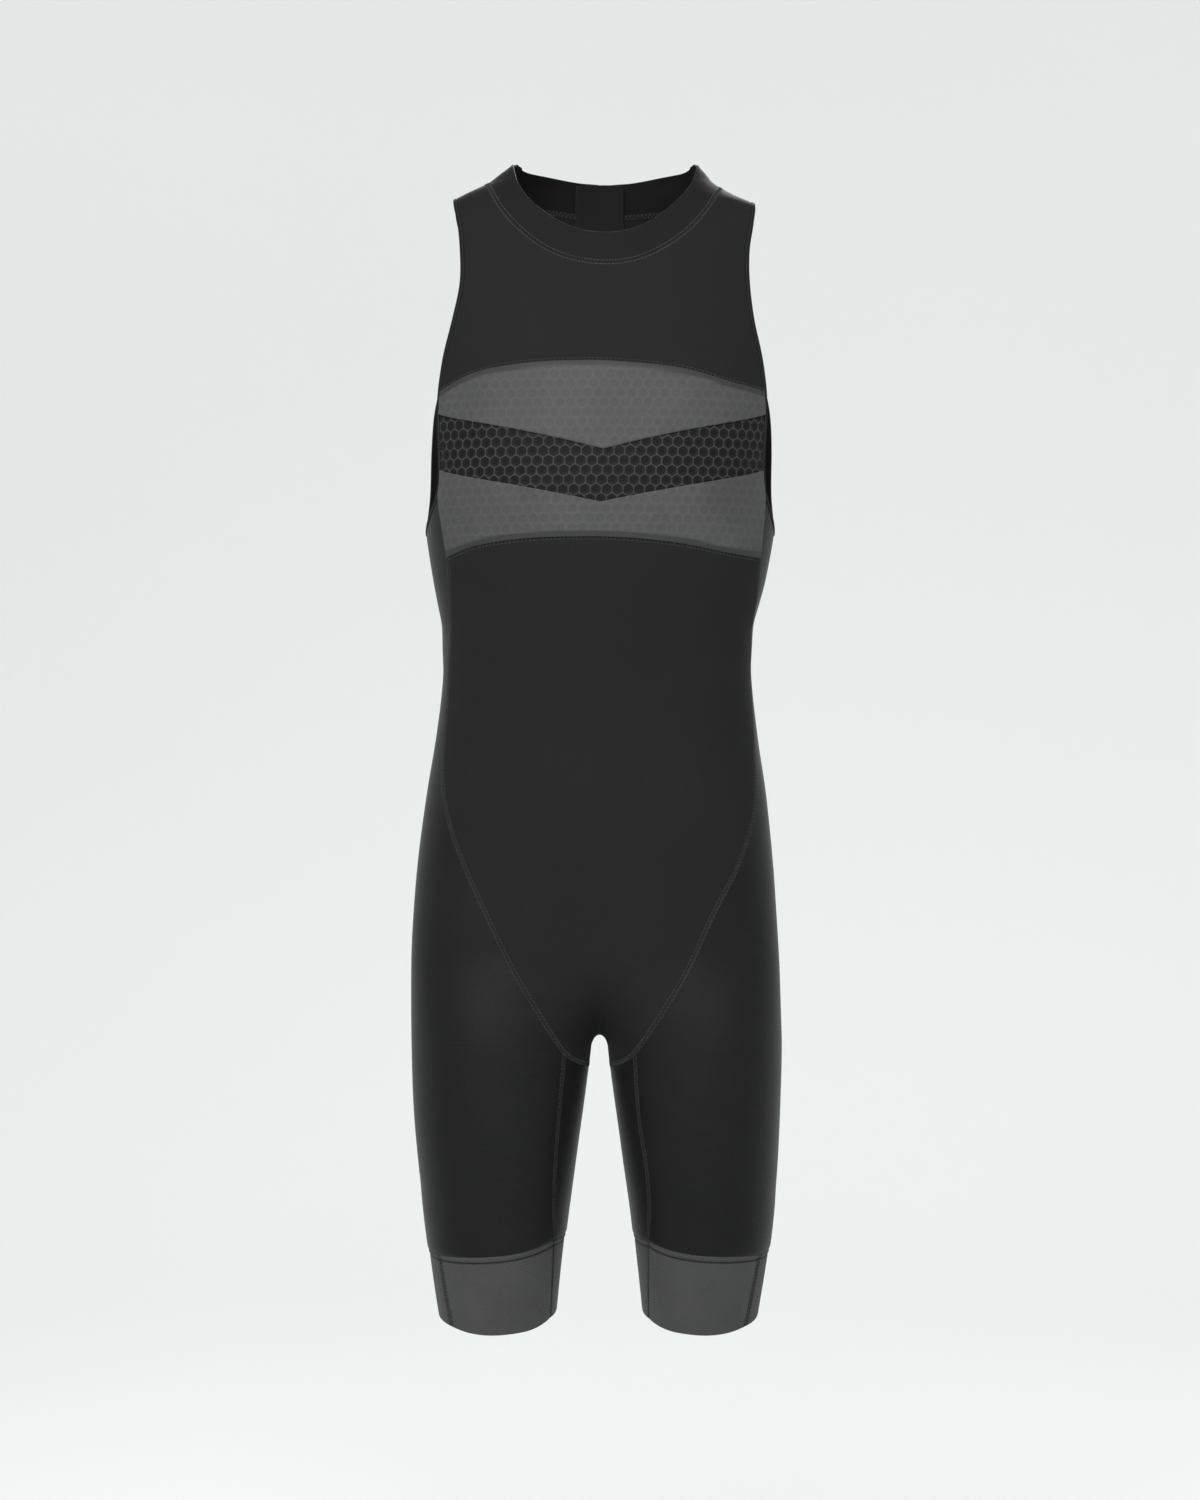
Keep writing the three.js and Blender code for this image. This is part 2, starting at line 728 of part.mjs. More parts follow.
const veeTopPos = straightSeam(pos.armMiddle[0], centreMiddle[0], HALF_COLUMNS);
const veeLowNeg = straightSeam(neg.armLower[0], centreLower[0], HALF_COLUMNS);
const veeLowPos = straightSeam(pos.armLower[0], centreLower[0], HALF_COLUMNS);

// Patches: rows go down the garment, columns go from the outer edge to the centre.
function bothHalves(upNeg, upPos, downNeg, downPos, edgeNeg, centre, edgePos) {
  const left = patch(upNeg, downNeg, edgeNeg, centre);
  const right = patch(reversed(upPos), reversed(downPos), centre, edgePos);
  return besideEachOther(left, right);
}
// A strap runs from the shoulder seam down between the armhole and the neck.
function strapPatches(shoulder, armStrap, armRest, neck, centre, low) {
  const neckStrap = neck.slice(0, STRAP_ROWS + 1);
  const foot = straightSeam(lastOf(armStrap), lastOf(neckStrap), SHOULDER_CELLS);
  const strap = patch(shoulder, foot, armStrap, neckStrap);
  const rest = patch(joined(foot, neck.slice(STRAP_ROWS)), low, armRest, centre);
  return [strap, rest];
}
const yokeNeg = strapPatches(shoulderNeg, neg.armStrap, neg.armYoke, neckFrontNeg, centreYoke, chestTopNeg);
const neckDownPos = reversed(neckFrontPos);
const yokePos = strapPatches(shoulderPos, pos.armStrap, pos.armYoke, neckDownPos, centreYoke, chestTopPos);
const crownUpper = bothHalves(
  chestTopNeg, chestTopPos, veeTopNeg, veeTopPos,
  straightSeamAlong(neg.armUpper, centreUpper.length - 1), centreUpper,
  straightSeamAlong(pos.armUpper, centreUpper.length - 1),
);
const crownMiddle = bothHalves(
  veeTopNeg, veeTopPos, veeLowNeg, veeLowPos, neg.armMiddle, centreMiddle, pos.armMiddle,
);
const chestEdgeNeg = joined(neg.armLower, neg.chestSide);
const chestEdgePos = joined(pos.armLower, pos.chestSide);
const crownLower = bothHalves(
  veeLowNeg, veeLowPos, chestLowNeg, chestLowPos,
  chestEdgeNeg, straightSeamAlong(centreLower, chestEdgeNeg.length - 1), chestEdgePos,
);

// The same edge with more cells, the new points lying on its straight pieces.
function straightSeamAlong(points, cells) {
  if (points.length - 1 === cells) return points;
  const result = [];
  for (let cell = 0; cell <= cells; cell += 1) {
    const want = (points.length - 1) * cell / cells;
    const k = Math.min(Math.floor(want), points.length - 2);
    result.push(points[k].clone().lerp(points[k + 1], want - k));
  }
  result[0] = points[0];
  result[cells] = points[points.length - 1];
  return result;
}

const endHalfNeg = straightSeam(lastOf(neg.crotchSide), lastOf(centreCrotch), HALF_COLUMNS);
const endHalfPos = straightSeam(lastOf(pos.crotchSide), lastOf(centreCrotch), HALF_COLUMNS);
const kneeNeg = straightSeam(lastOf(neg.frontHip), lastOf(centreBody), HALF_COLUMNS);
const kneePos = straightSeam(lastOf(pos.frontHip), lastOf(centreBody), HALF_COLUMNS);
const bodyEdgeNeg = joined(neg.frontWaist, neg.frontHip);
const bodyEdgePos = joined(pos.frontWaist, pos.frontHip);
const bodyFront = bothHalves(chestLowNeg, chestLowPos, kneeNeg, kneePos, bodyEdgeNeg, centreBody, bodyEdgePos);
const bodyUnder = bothHalves(kneeNeg, kneePos, endHalfNeg, endHalfPos, neg.crotchSide, centreCrotch, pos.crotchSide);

function backPatches(side) {
  const seams = side < 0 ? neg : pos;
  const slot = side < 0 ? slotNeg : slotPos;
  const neck = side < 0 ? reversed(neckBackNeg) : neckBackPos;
  const shoulder = side < 0 ? shoulderNeg : shoulderPos;
  const armStrap = reversed(seams.armBackStrap);
  const armRest = joined(reversed(seams.armBack), seams.backWaist, seams.backHip);
  const columns = SHOULDER_CELLS + neck.length - 1 - STRAP_ROWS;
  const seatRow = straightSeam(lastOf(seams.backHip), lastOf(zipLine[3]), columns);
  const centre = joined(slot[1], slot[2], zipLine[3]);
  const [strap, rest] = strapPatches(shoulder, armStrap, armRest, neck, centre, seatRow);
  const half = side < 0 ? endHalfNeg : endHalfPos;
  const endCells = columns - (seams.crotchBack.length - 1);
  const low = joined(reversed(seams.crotchBack), straightSeamAlong(half, endCells));
  const seat = patch(seatRow, low, seams.backSeat, zipLine[4]);
  return [strap, rest, seat];
}

// The side panel narrows at the waist, widens over the hip and wraps round the leg.
function legPatches(side) {
  const seams = side < 0 ? neg : pos;
  const low = joined(seams.cuffTop[0], seams.cuffTop[1]);
  const hipRow = roundRow(lastOf(seams.frontWaist), HIP_RING, lastOf(seams.backWaist), side);
  const thighRow = roundRow(lastOf(seams.frontHip), THIGH_RING, lastOf(seams.backSeat), side);
  const upper = patch(seams.armUnder, hipRow, joined(seams.chestSide, seams.frontWaist), seams.backWaist);
  const middle = patch(hipRow, thighRow, seams.frontHip, joined(seams.backHip, seams.backSeat));
  return [upper, middle, patch(thighRow, low, seams.innerFront, seams.innerBack)];
}

function roundRow(start, table, end, side) {
  const guides = [{ point: start, cells: 0 }, ...sideGuides(table, side), { point: end, cells: ROUND_CELLS }];
  return seamParts(guides)[0];
}

function thighPatch(side) {
  const seams = side < 0 ? neg : pos;
  const top = joined(seams.crotchSide, seams.crotchBack);
  const low = reversed(seams.cuffTop[2]);
  return patch(top, low, seams.innerFront, seams.innerBack);
}

function between(top, low, rows) {
  const grid = [];
  for (let j = 0; j <= rows; j += 1) {
    grid.push(top.map((point, i) => ontoForm(point.clone().lerp(low[i], j / rows))));
  }
  return grid;
}

function stripPatch(line, halfWidth, cells, shift = 0) {
  return line.map((point) => {
    const across = [];
    for (let cell = 0; cell <= cells; cell += 1) {
      const away = shift + halfWidth * (2 * cell / cells - 1);
      across.push(ontoForm(new THREE.Vector3(point.x + away, point.y, point.z)));
    }
    return across;
  });
}

// Assembly
const garment = new THREE.Group();

function cloth(name, grids, color, roughness, options = {}) {
  const material = new THREE.MeshStandardMaterial({ color, roughness, metalness: 0 });
  const mesh = new THREE.Mesh(clothGeometry(grids, options), material);
  mesh.name = name;
  garment.add(mesh);
}

cloth("front_yoke", [...yokeNeg, ...yokePos], BLACK_KNIT, 0.85);
cloth("chest_panel", [crownUpper, crownMiddle, crownLower], HONEYCOMB, 0.7);
const overlay = { lift: SEAM_GAP + OVERLAY_WALL, wall: OVERLAY_WALL };
cloth("chest_overlay_upper", [crownUpper], OVERLAY_GREY, 0.75, overlay);
cloth("chest_overlay_lower", [crownLower], OVERLAY_GREY, 0.75, overlay);
cloth("front_body", [bodyFront, bodyUnder], BLACK_KNIT, 0.85);
for (const [word, side] of [["right", -1], ["left", 1]]) {
  const seams = side < 0 ? neg : pos;
  cloth(`side_leg_${word}`, legPatches(side), SIDE_KNIT, 0.8);
  cloth(`back_${word}`, backPatches(side), BLACK_KNIT, 0.85);
  cloth(`inner_thigh_${word}`, [thighPatch(side)], SIDE_KNIT, 0.8);
  const ring = { lift: -CUFF_INSET };
  cloth(`cuff_front_${word}`, [between(seams.cuffTop[0], seams.hem[0], 4)], CUFF_GREY, 0.7, ring);
  const topRest = joined(seams.cuffTop[1], seams.cuffTop[2]);
  const hemRest = joined(seams.hem[1], seams.hem[2]);
  cloth(`cuff_back_${word}`, [between(topRest, hemRest, 4)], CUFF_GREY, 0.7, ring);
  const loopOuter = seams.edge.concat([seams.edge[0]]);
  const loopInner = seams.band.concat([seams.band[0]]);
  cloth(`armhole_binding_${word}`, [[loopOuter, loopInner]], EDGE_BLACK, 0.8, { gap: 0 });
}

const neckLine = joined(neckBackNeg, neckFrontNeg, neckFrontPos, neckBackPos);
const collarLine = joined(topBackNeg, topFrontNeg, topFrontPos, topBackPos);
cloth("collar", [between(collarLine, neckLine, 2)], EDGE_BLACK, 0.8);

// Zip at the centre back
const zipStations = joined(zipLine[0], zipLine[1], zipLine[2]);
const tapeTop = -(WALL + TAPE_CLEARANCE);
const guardTop = tapeTop - TAPE_WALL - GUARD_CLEARANCE;
const tape = { lift: tapeTop, wall: TAPE_WALL, gap: 0 };
cloth("zip_tape", [stripPatch(zipStations, TAPE_HALF_WIDTH, 4)], TAPE_BLACK, 0.8, tape);
const guard = { lift: guardTop, wall: GUARD_WALL, gap: 0 };
cloth("zip_guard", [stripPatch(zipStations, GUARD_HALF_WIDTH, 6, GUARD_SHIFT)], BLACK_KNIT, 0.85, guard);
const chainStations = joined(zipLine[0].slice(1), zipLine[1]);
const chain = { lift: tapeTop + SEAM_GAP + CHAIN_WALL, wall: CHAIN_WALL, gap: SEAM_GAP / 2 };
cloth("zip_chain", [stripPatch(chainStations, CHAIN_HALF_WIDTH, 2)], TAPE_BLACK, 0.5, chain);

// Slider frame: along runs down the zip, out leaves the back, and across lies along X.
const zipUpper = zipLine[0][0];
const zipLower = zipLine[0][1];
const alongZip = zipLower.clone().sub(zipUpper).normalize();
const outOfBack = new THREE.Vector3(1, 0, 0).cross(alongZip).normalize();
if (outOfBack.y < 0) outOfBack.negate();
const sliderSeat = zipLower.clone().addScaledVector(alongZip, -SEAM_GAP - SLIDER_LENGTH / 2);
sliderSeat.addScaledVector(outOfBack, tapeTop + SEAM_GAP);
const acrossZip = outOfBack.clone().cross(alongZip).normalize();
const sliderFrame = new THREE.Matrix4().makeBasis(acrossZip, alongZip, outOfBack.clone());
if (sliderFrame.determinant() < 0) {
  sliderFrame.makeBasis(acrossZip.negate(), alongZip, outOfBack.clone());
}
sliderFrame.setPosition(sliderSeat);

// Side view drawn with x along the zip and y out of the back, then pushed across.
function sideProfile(outline, hole, width) {
  const shape = new THREE.Shape(outline.map(([x, y]) => new THREE.Vector2(x, y)));
  if (hole) shape.holes.push(new THREE.Path(hole.map(([x, y]) => new THREE.Vector2(x, y))));
  const geometry = new THREE.ExtrudeGeometry(shape, { depth: width, bevelEnabled: false });
  geometry.translate(0, 0, -width / 2);
  geometry.applyMatrix4(new THREE.Matrix4().set(0, 0, 1, 0, 1, 0, 0, 0, 0, 1, 0, 0, 0, 0, 0, 1));
  return geometry;
}
const bodyLow = 0;
const bodyTop = SLIDER_HEIGHT;
const half = SLIDER_LENGTH / 2;
const sliderBody = sideProfile(
  [[-half, bodyLow], [half, bodyLow], [half, bodyTop - SLIDER_CORNER], [half - SLIDER_CORNER, bodyTop],
    [-half + SLIDER_CORNER, bodyTop], [-half, bodyTop - SLIDER_CORNER]],
  null,
  SLIDER_WIDTH,
);
const pivot = bodyTop + PIVOT_HEIGHT;
const reachIn = BRIDGE_REACH - BRIDGE_WALL;
const bridgeFoot = bodyTop - BRIDGE_SINK;
const bridgeTop = pivot + BRIDGE_RISE;
const bridgeSide = bridgeTop - BRIDGE_CORNER;
const bridgeInside = bridgeTop - BRIDGE_WALL;
const arch = sideProfile(
  [[-BRIDGE_REACH, bridgeFoot], [BRIDGE_REACH, bridgeFoot], [BRIDGE_REACH, bridgeSide],
    [BRIDGE_REACH - BRIDGE_CORNER, bridgeTop], [-BRIDGE_REACH + BRIDGE_CORNER, bridgeTop],
    [-BRIDGE_REACH, bridgeSide]],
  [[-reachIn, bodyTop], [-reachIn, bridgeInside], [reachIn, bridgeInside], [reachIn, bodyTop]],
  BRIDGE_WIDTH,
);
const sliderSolid = toSolid(sliderBody).add(toSolid(arch));
const sliderMesh = new THREE.Mesh(
  toGeometry(sliderSolid),
  new THREE.MeshStandardMaterial({ color: METAL_DARK, roughness: 0.4, metalness: 0.8 }),
);
sliderMesh.name = "zip_slider";
sliderMesh.applyMatrix4(sliderFrame);
garment.add(sliderMesh);

// The pull tab turns on its short bar inside the bridge.
const tabHalf = TAB_WIDTH / 2;
const barHalf = TAB_WALL / 2;
const windowHalf = BRIDGE_WIDTH / 2 + TAB_WINDOW_PLAY;
const tabShape = new THREE.Shape();
tabShape.moveTo(-tabHalf, -barHalf);
tabShape.lineTo(tabHalf, -barHalf);
tabShape.absarc(tabHalf - TAB_ROUND, TAB_LENGTH - TAB_ROUND, TAB_ROUND, 0, Math.PI / 2, false);
tabShape.absarc(-tabHalf + TAB_ROUND, TAB_LENGTH - TAB_ROUND, TAB_ROUND, Math.PI / 2, Math.PI, false);
const tabWindow = new THREE.Path();
tabWindow.moveTo(-windowHalf, barHalf);
tabWindow.lineTo(-windowHalf, barHalf + TAB_WINDOW);
tabWindow.lineTo(windowHalf, barHalf + TAB_WINDOW);
tabWindow.lineTo(windowHalf, barHalf);
tabShape.holes.push(tabWindow);
const tabGeometry = new THREE.ExtrudeGeometry(tabShape, { depth: TAB_WALL, bevelEnabled: false, curveSegments: 3 });
tabGeometry.translate(0, 0, -TAB_WALL / 2);
const tabMesh = new THREE.Mesh(
  tabGeometry,
  new THREE.MeshStandardMaterial({ color: METAL_DARK, roughness: 0.4, metalness: 0.8 }),
);
tabMesh.name = "zip_pull_tab";
const tabFrame = sliderFrame.clone();
tabFrame.setPosition(sliderSeat.clone().addScaledVector(outOfBack, pivot));
tabMesh.applyMatrix4(tabFrame);
garment.add(tabMesh);

export default garment;
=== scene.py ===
"""A sleeveless one-piece triathlon suit, filled out as worn, in a plain studio."""
import math
import bpy
import numpy as np
from mathutils import Matrix, Vector


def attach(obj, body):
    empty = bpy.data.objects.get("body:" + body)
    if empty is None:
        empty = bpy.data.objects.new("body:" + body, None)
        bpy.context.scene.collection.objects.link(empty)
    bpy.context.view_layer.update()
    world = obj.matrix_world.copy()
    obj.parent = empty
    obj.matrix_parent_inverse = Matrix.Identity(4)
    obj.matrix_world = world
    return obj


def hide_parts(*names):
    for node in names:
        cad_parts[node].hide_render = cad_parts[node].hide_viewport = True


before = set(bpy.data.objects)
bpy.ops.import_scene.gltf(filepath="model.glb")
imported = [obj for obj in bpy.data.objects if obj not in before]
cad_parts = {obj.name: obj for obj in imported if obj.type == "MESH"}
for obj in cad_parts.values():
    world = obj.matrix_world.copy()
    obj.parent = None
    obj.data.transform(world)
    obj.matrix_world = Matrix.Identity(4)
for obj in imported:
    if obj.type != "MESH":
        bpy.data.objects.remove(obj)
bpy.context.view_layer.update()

# ---- camera: level, square to the front, as far off as the photograph's perspective asks
CAMERA_DISTANCE = 2.6
CAMERA_HEIGHT = -0.4623
FRAME_HEIGHT = 1.245
camera_data = bpy.data.cameras.new("studio_camera")
camera_data.lens = 36 * CAMERA_DISTANCE / FRAME_HEIGHT
camera = bpy.data.objects.new("studio_camera", camera_data)
camera.location = (0.0004, -CAMERA_DISTANCE, CAMERA_HEIGHT)
camera.rotation_euler = (math.pi / 2, 0, 0)
bpy.context.scene.collection.objects.link(camera)
bpy.context.scene.camera = camera

# ---- sizes of the suit in millimetres
MM = 0.001
WALL = 1.2
COLLAR_WALL = 1.6
SEAM_GAP = 0.03
OVERLAY_LIFT = 1.3
OVERLAY_WALL = 0.8
BINDING_WIDTH = 4
BINDING_ACROSS = np.array([0, 0.05, 0.16, 0.35, 0.6, 0.8, 0.93, 1])
BINDING_ROLL = np.array([-0.55, -0.1, 0.25, 0.42, 0.4, 0.26, 0.02, -0.3])
CUFF_INSET = 1.2
CUFF_WALL = 1.0
FINE = 5

# Columns: z, neg, pos, front, back, inner, square, leg square. neg and pos are the half widths to
# the two sides, inner is half the gap between the legs, and the squares are the outlines' powers.
SECTIONS = np.array([
    [24, 70, 80, 52, 60, 0, 2, 2.35],
    [15, 82, 88, 57, 66, 0, 2, 2.35],
    [6, 94, 96, 60, 71, 0, 2, 2.35],
    [-3, 113, 112, 62, 76, 0, 2, 2.35],
    [-12, 129, 132, 64, 80, 0, 2.05, 2.35],
    [-30, 141, 147, 67, 86, 0, 2.1, 2.35],
    [-60, 149, 156, 74, 94, 0, 2.2, 2.35],
    [-100, 152, 158, 86, 102, 0, 2.3, 2.35],
    [-160, 150, 155, 97, 107, 0, 2.35, 2.35],
    [-220, 147, 150, 102, 106, 0, 2.35, 2.35],
    [-275, 144.5, 146, 101, 101, 0, 2.35, 2.35],
    [-320, 138, 138, 97, 94, 0, 2.3, 2.35],
    [-360, 131.5, 128, 92, 88, 0, 2.3, 2.35],
    [-400, 130, 126, 88, 84, 0, 2.3, 2.35],
    [-450, 135, 131, 86, 85, 0, 2.35, 2.35],
    [-500, 143.5, 138, 86, 93, 0, 2.45, 2.35],
    [-560, 151, 144, 85, 103, 0, 2.6, 2.35],
    [-620, 155, 148, 84, 107, 0, 2.85, 2.35],
    [-670, 156, 150, 83, 105, 4, 3.1, 2.35],
    [-705, 155.5, 151, 82, 100, 6.5, 3.1, 2.3],
    [-745, 154.5, 150.5, 81, 93, 11.5, 3, 2.2],
    [-800, 150.5, 148, 77, 84, 19, 3, 2.15],
    [-850, 145.5, 144.5, 71, 77, 26, 3, 2.1],
    [-885, 141, 140, 67, 72, 30, 3, 2.1],
    [-945, 132, 130, 58, 64, 36, 3, 2.1],
])
LEGS_ONLY_BELOW = -708
TRUNK_ONLY_ABOVE = -628
LEG_JOIN = 10
TRUNK_SCALE = 90
LEG_SCALE = 75

# Seam tables. Columns x, y, z give a guide point near the form, and cells is 0 for a plain guide,
# or at a stop the number of grid cells back to the stop before it.
NECK_SEAM = [
    [-1, 77.5, -8, 0],
    [-28, 74, -6, 0],
    [-62, 60, -2, 0],
    [-86, 35, 4, 0],
    [-94, -2, 7, 8],
    [-91, -34, 0, 0],
    [-78, -55, -24, 0],
    [-64, -63, -40, 0],
    [-44, -70, -56, 0],
    [-20, -75, -66, 0],
    [5, -77, -69, 9],
    [29, -75, -66, 0],
    [54, -69, -54, 0],
    [72, -62, -40, 0],
    [84, -54, -26, 0],
    [99, -33, -1, 0],
    [102, -2, 5, 9],
    [96, 35, 3, 0],
    [72, 60, -2, 0],
    [38, 74, -6, 0],
    [11, 77.5, -8, 8],
]
COLLAR_TOP = [
    [-1, 63, 18, 0],
    [-18, 60, 19, 0],
    [-40, 50, 21.5, 0],
    [-61, 32, 23.8, 0],
    [-68, 14, 24.3, 0],
    [-70.5, -2, 23.5, 8],
    [-71, -25, 17, 0],
    [-67, -46, 2, 0],
    [-59, -57, -12, 0],
    [-49, -62, -22, 0],
    [-34, -66, -33, 0],
    [-15, -69, -41, 0],
    [5, -70, -43.5, 9],
    [24, -69, -41, 0],
    [42, -66, -33, 0],
    [56, -61, -22, 0],
    [66, -56, -12, 0],
    [76, -44, 2, 0],
    [81, -22, 17, 0],
    [80.5, -2, 23.5, 9],
    [77.5, 14, 24.3, 0],
    [72, 32, 23.8, 0],
    [50, 50, 21.5, 0],
    [28, 60, 19, 0],
    [11, 63, 18, 8],
]
# Columns neg, pos, y, z, cells: neg and pos are x on the two sides.
ARMHOLE = [
    [-121, 130, 0, -8, 0],
    [-119, 129, -23, -14, 0],
    [-116, 127, -39, -32, 3],
    [-114, 123, -49, -55, 0],
    [-114, 123, -58, -85, 0],
    [-120, 126, -61, -114, 0],
    [-128, 133, -58, -146, 0],
    [-131.5, 136, -55, -171, 6],
    [-132.5, 137, -54, -190, 1],
    [-132, 136.5, -54, -235, 2],
    [-132.5, 138, -50, -253, 1],
    [-138, 142, -38, -267, 0],
    [-143, 146, -18, -279, 0],
    [-145, 147.5, -2, -282, 0],
    [-145, 147, 14, -275, 0],
    [-143, 145, 30, -254, 16],
    [-142, 144, 37, -215, 0],
    [-140, 143.5, 46, -180, 0],
    [-134, 139, 57, -150, 0],
    [-125, 131, 67, -115, 0],
    [-119, 126, 70, -85, 0],
    [-116, 124, 64, -55, 0],
    [-117, 126, 50, -32, 0],
    [-120, 129, 26, -13, 10],
    [-121, 130, 0, -8, 3],
]
# Columns negX, negY, posX, posY, z, cells. The first guide is the lower front corner of the armhole.
FRONT_SEAM = [
    [-124, -54, 131, -44, -306, 3],
    [-121, -43, 126, -24, -356, 0],
    [-124, -34, 125, -17, -398, 0],
    [-126, -36, 126, -25, -436, 0],
    [-128, -42, 127, -36, -474, 0],
    [-123, -55, 125, -47, -515, 7],
    [-108, -67, 110, -61, -557, 0],
    [-91, -74, 91, -71, -594, 0],
    [-70, -79, 71, -77, -638, 0],
    [-48, -79, 49, -79, -676, 0],
    [-28, -64, 28, -64, -707, 9],
    [-17, -47, 18, -48, -716, 0],
    [-9, -20, 10, -20, -721, 0],
    [-9, 4, 10, 4, -722, 0],
    [-11, 24, 12, 24, -721, 5],
    [-18, 45, 19, 45, -716, 0],
    [-28, 64, 29, 64, -708, 4],
]
BACK_SEAM = [
    [-127, 48, 128, 48, -306, 0],
    [-121, 42, 118, 42, -356, 0],
    [-118, 42, 114, 42, -400, 0],
    [-119, 48, 115, 48, -450, 0],
    [-120, 60, 115, 60, -500, 10],
    [-111, 76, 106, 76, -545, 0],
    [-90, 92, 86, 92, -590, 0],
    [-70, 99, 70, 99, -636, 0],
    [-50, 98, 51, 98, -674, 5],
    [-28, 64, 29, 64, -708, 4],
]
INNER_FRONT_SEAM = [
    [-32.5, -59, 31, -59, -758, 0],
    [-36, -54, 38, -57, -800, 0],
    [-37, -47, 41, -51, -836, 0],
    [-37, -38, 40.5, -43, -862, 6],
]
INNER_BACK_SEAM = [
    [-33, 66, 32, 66, -758, 0],
    [-36, 60, 38, 60, -800, 0],
    [-37, 50, 41, 52, -836, 0],
    [-38, 42, 40.5, 44, -866, 6],
]
# Columns negX, posX, y, z, cells, round one leg from the inner front corner.
CUFF_TOP = [
    [-48, 52, -54, -866, 0],
    [-68, 73, -66, -870, 0],
    [-89, 96, -68, -872, 0],
    [-110, 116, -60, -873, 0],
    [-131, 133, -41, -874, 6],
    [-142, 141, -6, -873, 0],
    [-134, 133, 40, -871, 0],
    [-110, 112, 66, -869, 0],
    [-85, 88, 73, -868, 0],
    [-60, 63, 66, -867, 0],
    [-38, 40.5, 42, -866, 10],
    [-28, 32, 2, -861, 0],
    [-37, 40.5, -40, -862, 9],
]
HEM = [
    [-38, 42, -27, -929, 0],
    [-53, 55, -48, -935, 0],
    [-71, 70, -57, -937, 0],
    [-89, 87, -59, -938, 0],
    [-105, 104, -54, -937, 0],
    [-122, 121, -41, -934, 6],
    [-135, 134, 0, -929, 0],
    [-128, 127, 38, -925, 0],
    [-108, 107, 58, -923, 0],
    [-85, 84, 63, -922, 0],
    [-62, 62, 58, -922, 0],
    [-45, 47, 42, -923, 10],
    [-34, 37, 2, -926, 0],
    [-38, 42, -27, -929, 9],
]
# Columns x, y, z, cells.
CENTRE_FRONT = [
    [5, -77, -69, 0],
    [4, -90, -110, 0],
    [4, -96, -150.5, 6],
    [3, -102, -222, 3],
    [1, -102, -264, 2],
    [0, -100, -292, 2],
    [-1, -92, -360, 0],
    [-2, -87, -430, 0],
    [-2, -86, -520, 0],
    [-1, -84, -620, 0],
    [0, -76, -662, 0],
    [0, -54, -688, 16],
    [0, -28, -700, 0],
    [0, 0, -703, 0],
    [0, 26, -702, 5],
]
# Columns x, open, y, z, cells: open is half the width of the zip's slot.
CENTRE_BACK = [
    [5, 6, 63, 18, 0],
    [5, 6, 77.5, -8, 2],
    [4, 6, 94, -60, 0],
    [3, 6, 102, -100, 0],
    [2, 6, 107, -160, 0],
    [1, 6, 106, -220, 0],
    [0, 6, 101, -275, 0],
    [0, 6, 94, -320, 0],
    [-1, 6, 88, -360, 0],
    [-2, 6, 84, -392, 15],
    [-2, 0, 84, -418, 1],
    [-3, 0, 93, -500, 0],
    [-3, 0, 103, -560, 0],
    [-3, 0, 107, -620, 0],
    [-1, 0, 98, -662, 9],
    [0, 0, 70, -690, 0],
    [0, 0, 26, -702, 4],
]
# Columns x, y, z, cells.
CHEST_TOP_NEG = [
    [-99, -79, -158, 0],
    [-58, -91, -152, 0],
    [-17, -95, -150.5, 0],
    [4, -96, -150.5, 9],
]
CHEST_TOP_POS = [
    [24, -95.5, -152, 0],
    [65, -91, -156, 0],
    [106, -78, -166, 0],
]
CHEST_LOW_NEG = [
    [-99, -77, -298, 0],
    [-57, -94, -293, 0],
    [-17, -99.5, -292, 0],
    [0, -100, -292, 9],
]
CHEST_LOW_POS = [
    [24, -99, -293, 0],
    [65, -92, -297, 0],
    [107, -72, -304, 0],
]
# Columns neg, pos, y, z, cells.
THIGH_RING = [
    [-76, 74, -83, -712, 0],
    [-130, 126, -58, -712, 0],
    [-155, 151, 0, -712, 0],
    [-132, 128, 64, -711, 0],
    [-78, 76, 98, -710, 0],
]
HIP_RING = [[-146, 140, 2, -508, 0]]
HALF_COLUMNS = 9
STRAP_ROWS = 3
SHOULDER_CELLS = 3
ROUND_CELLS = 16

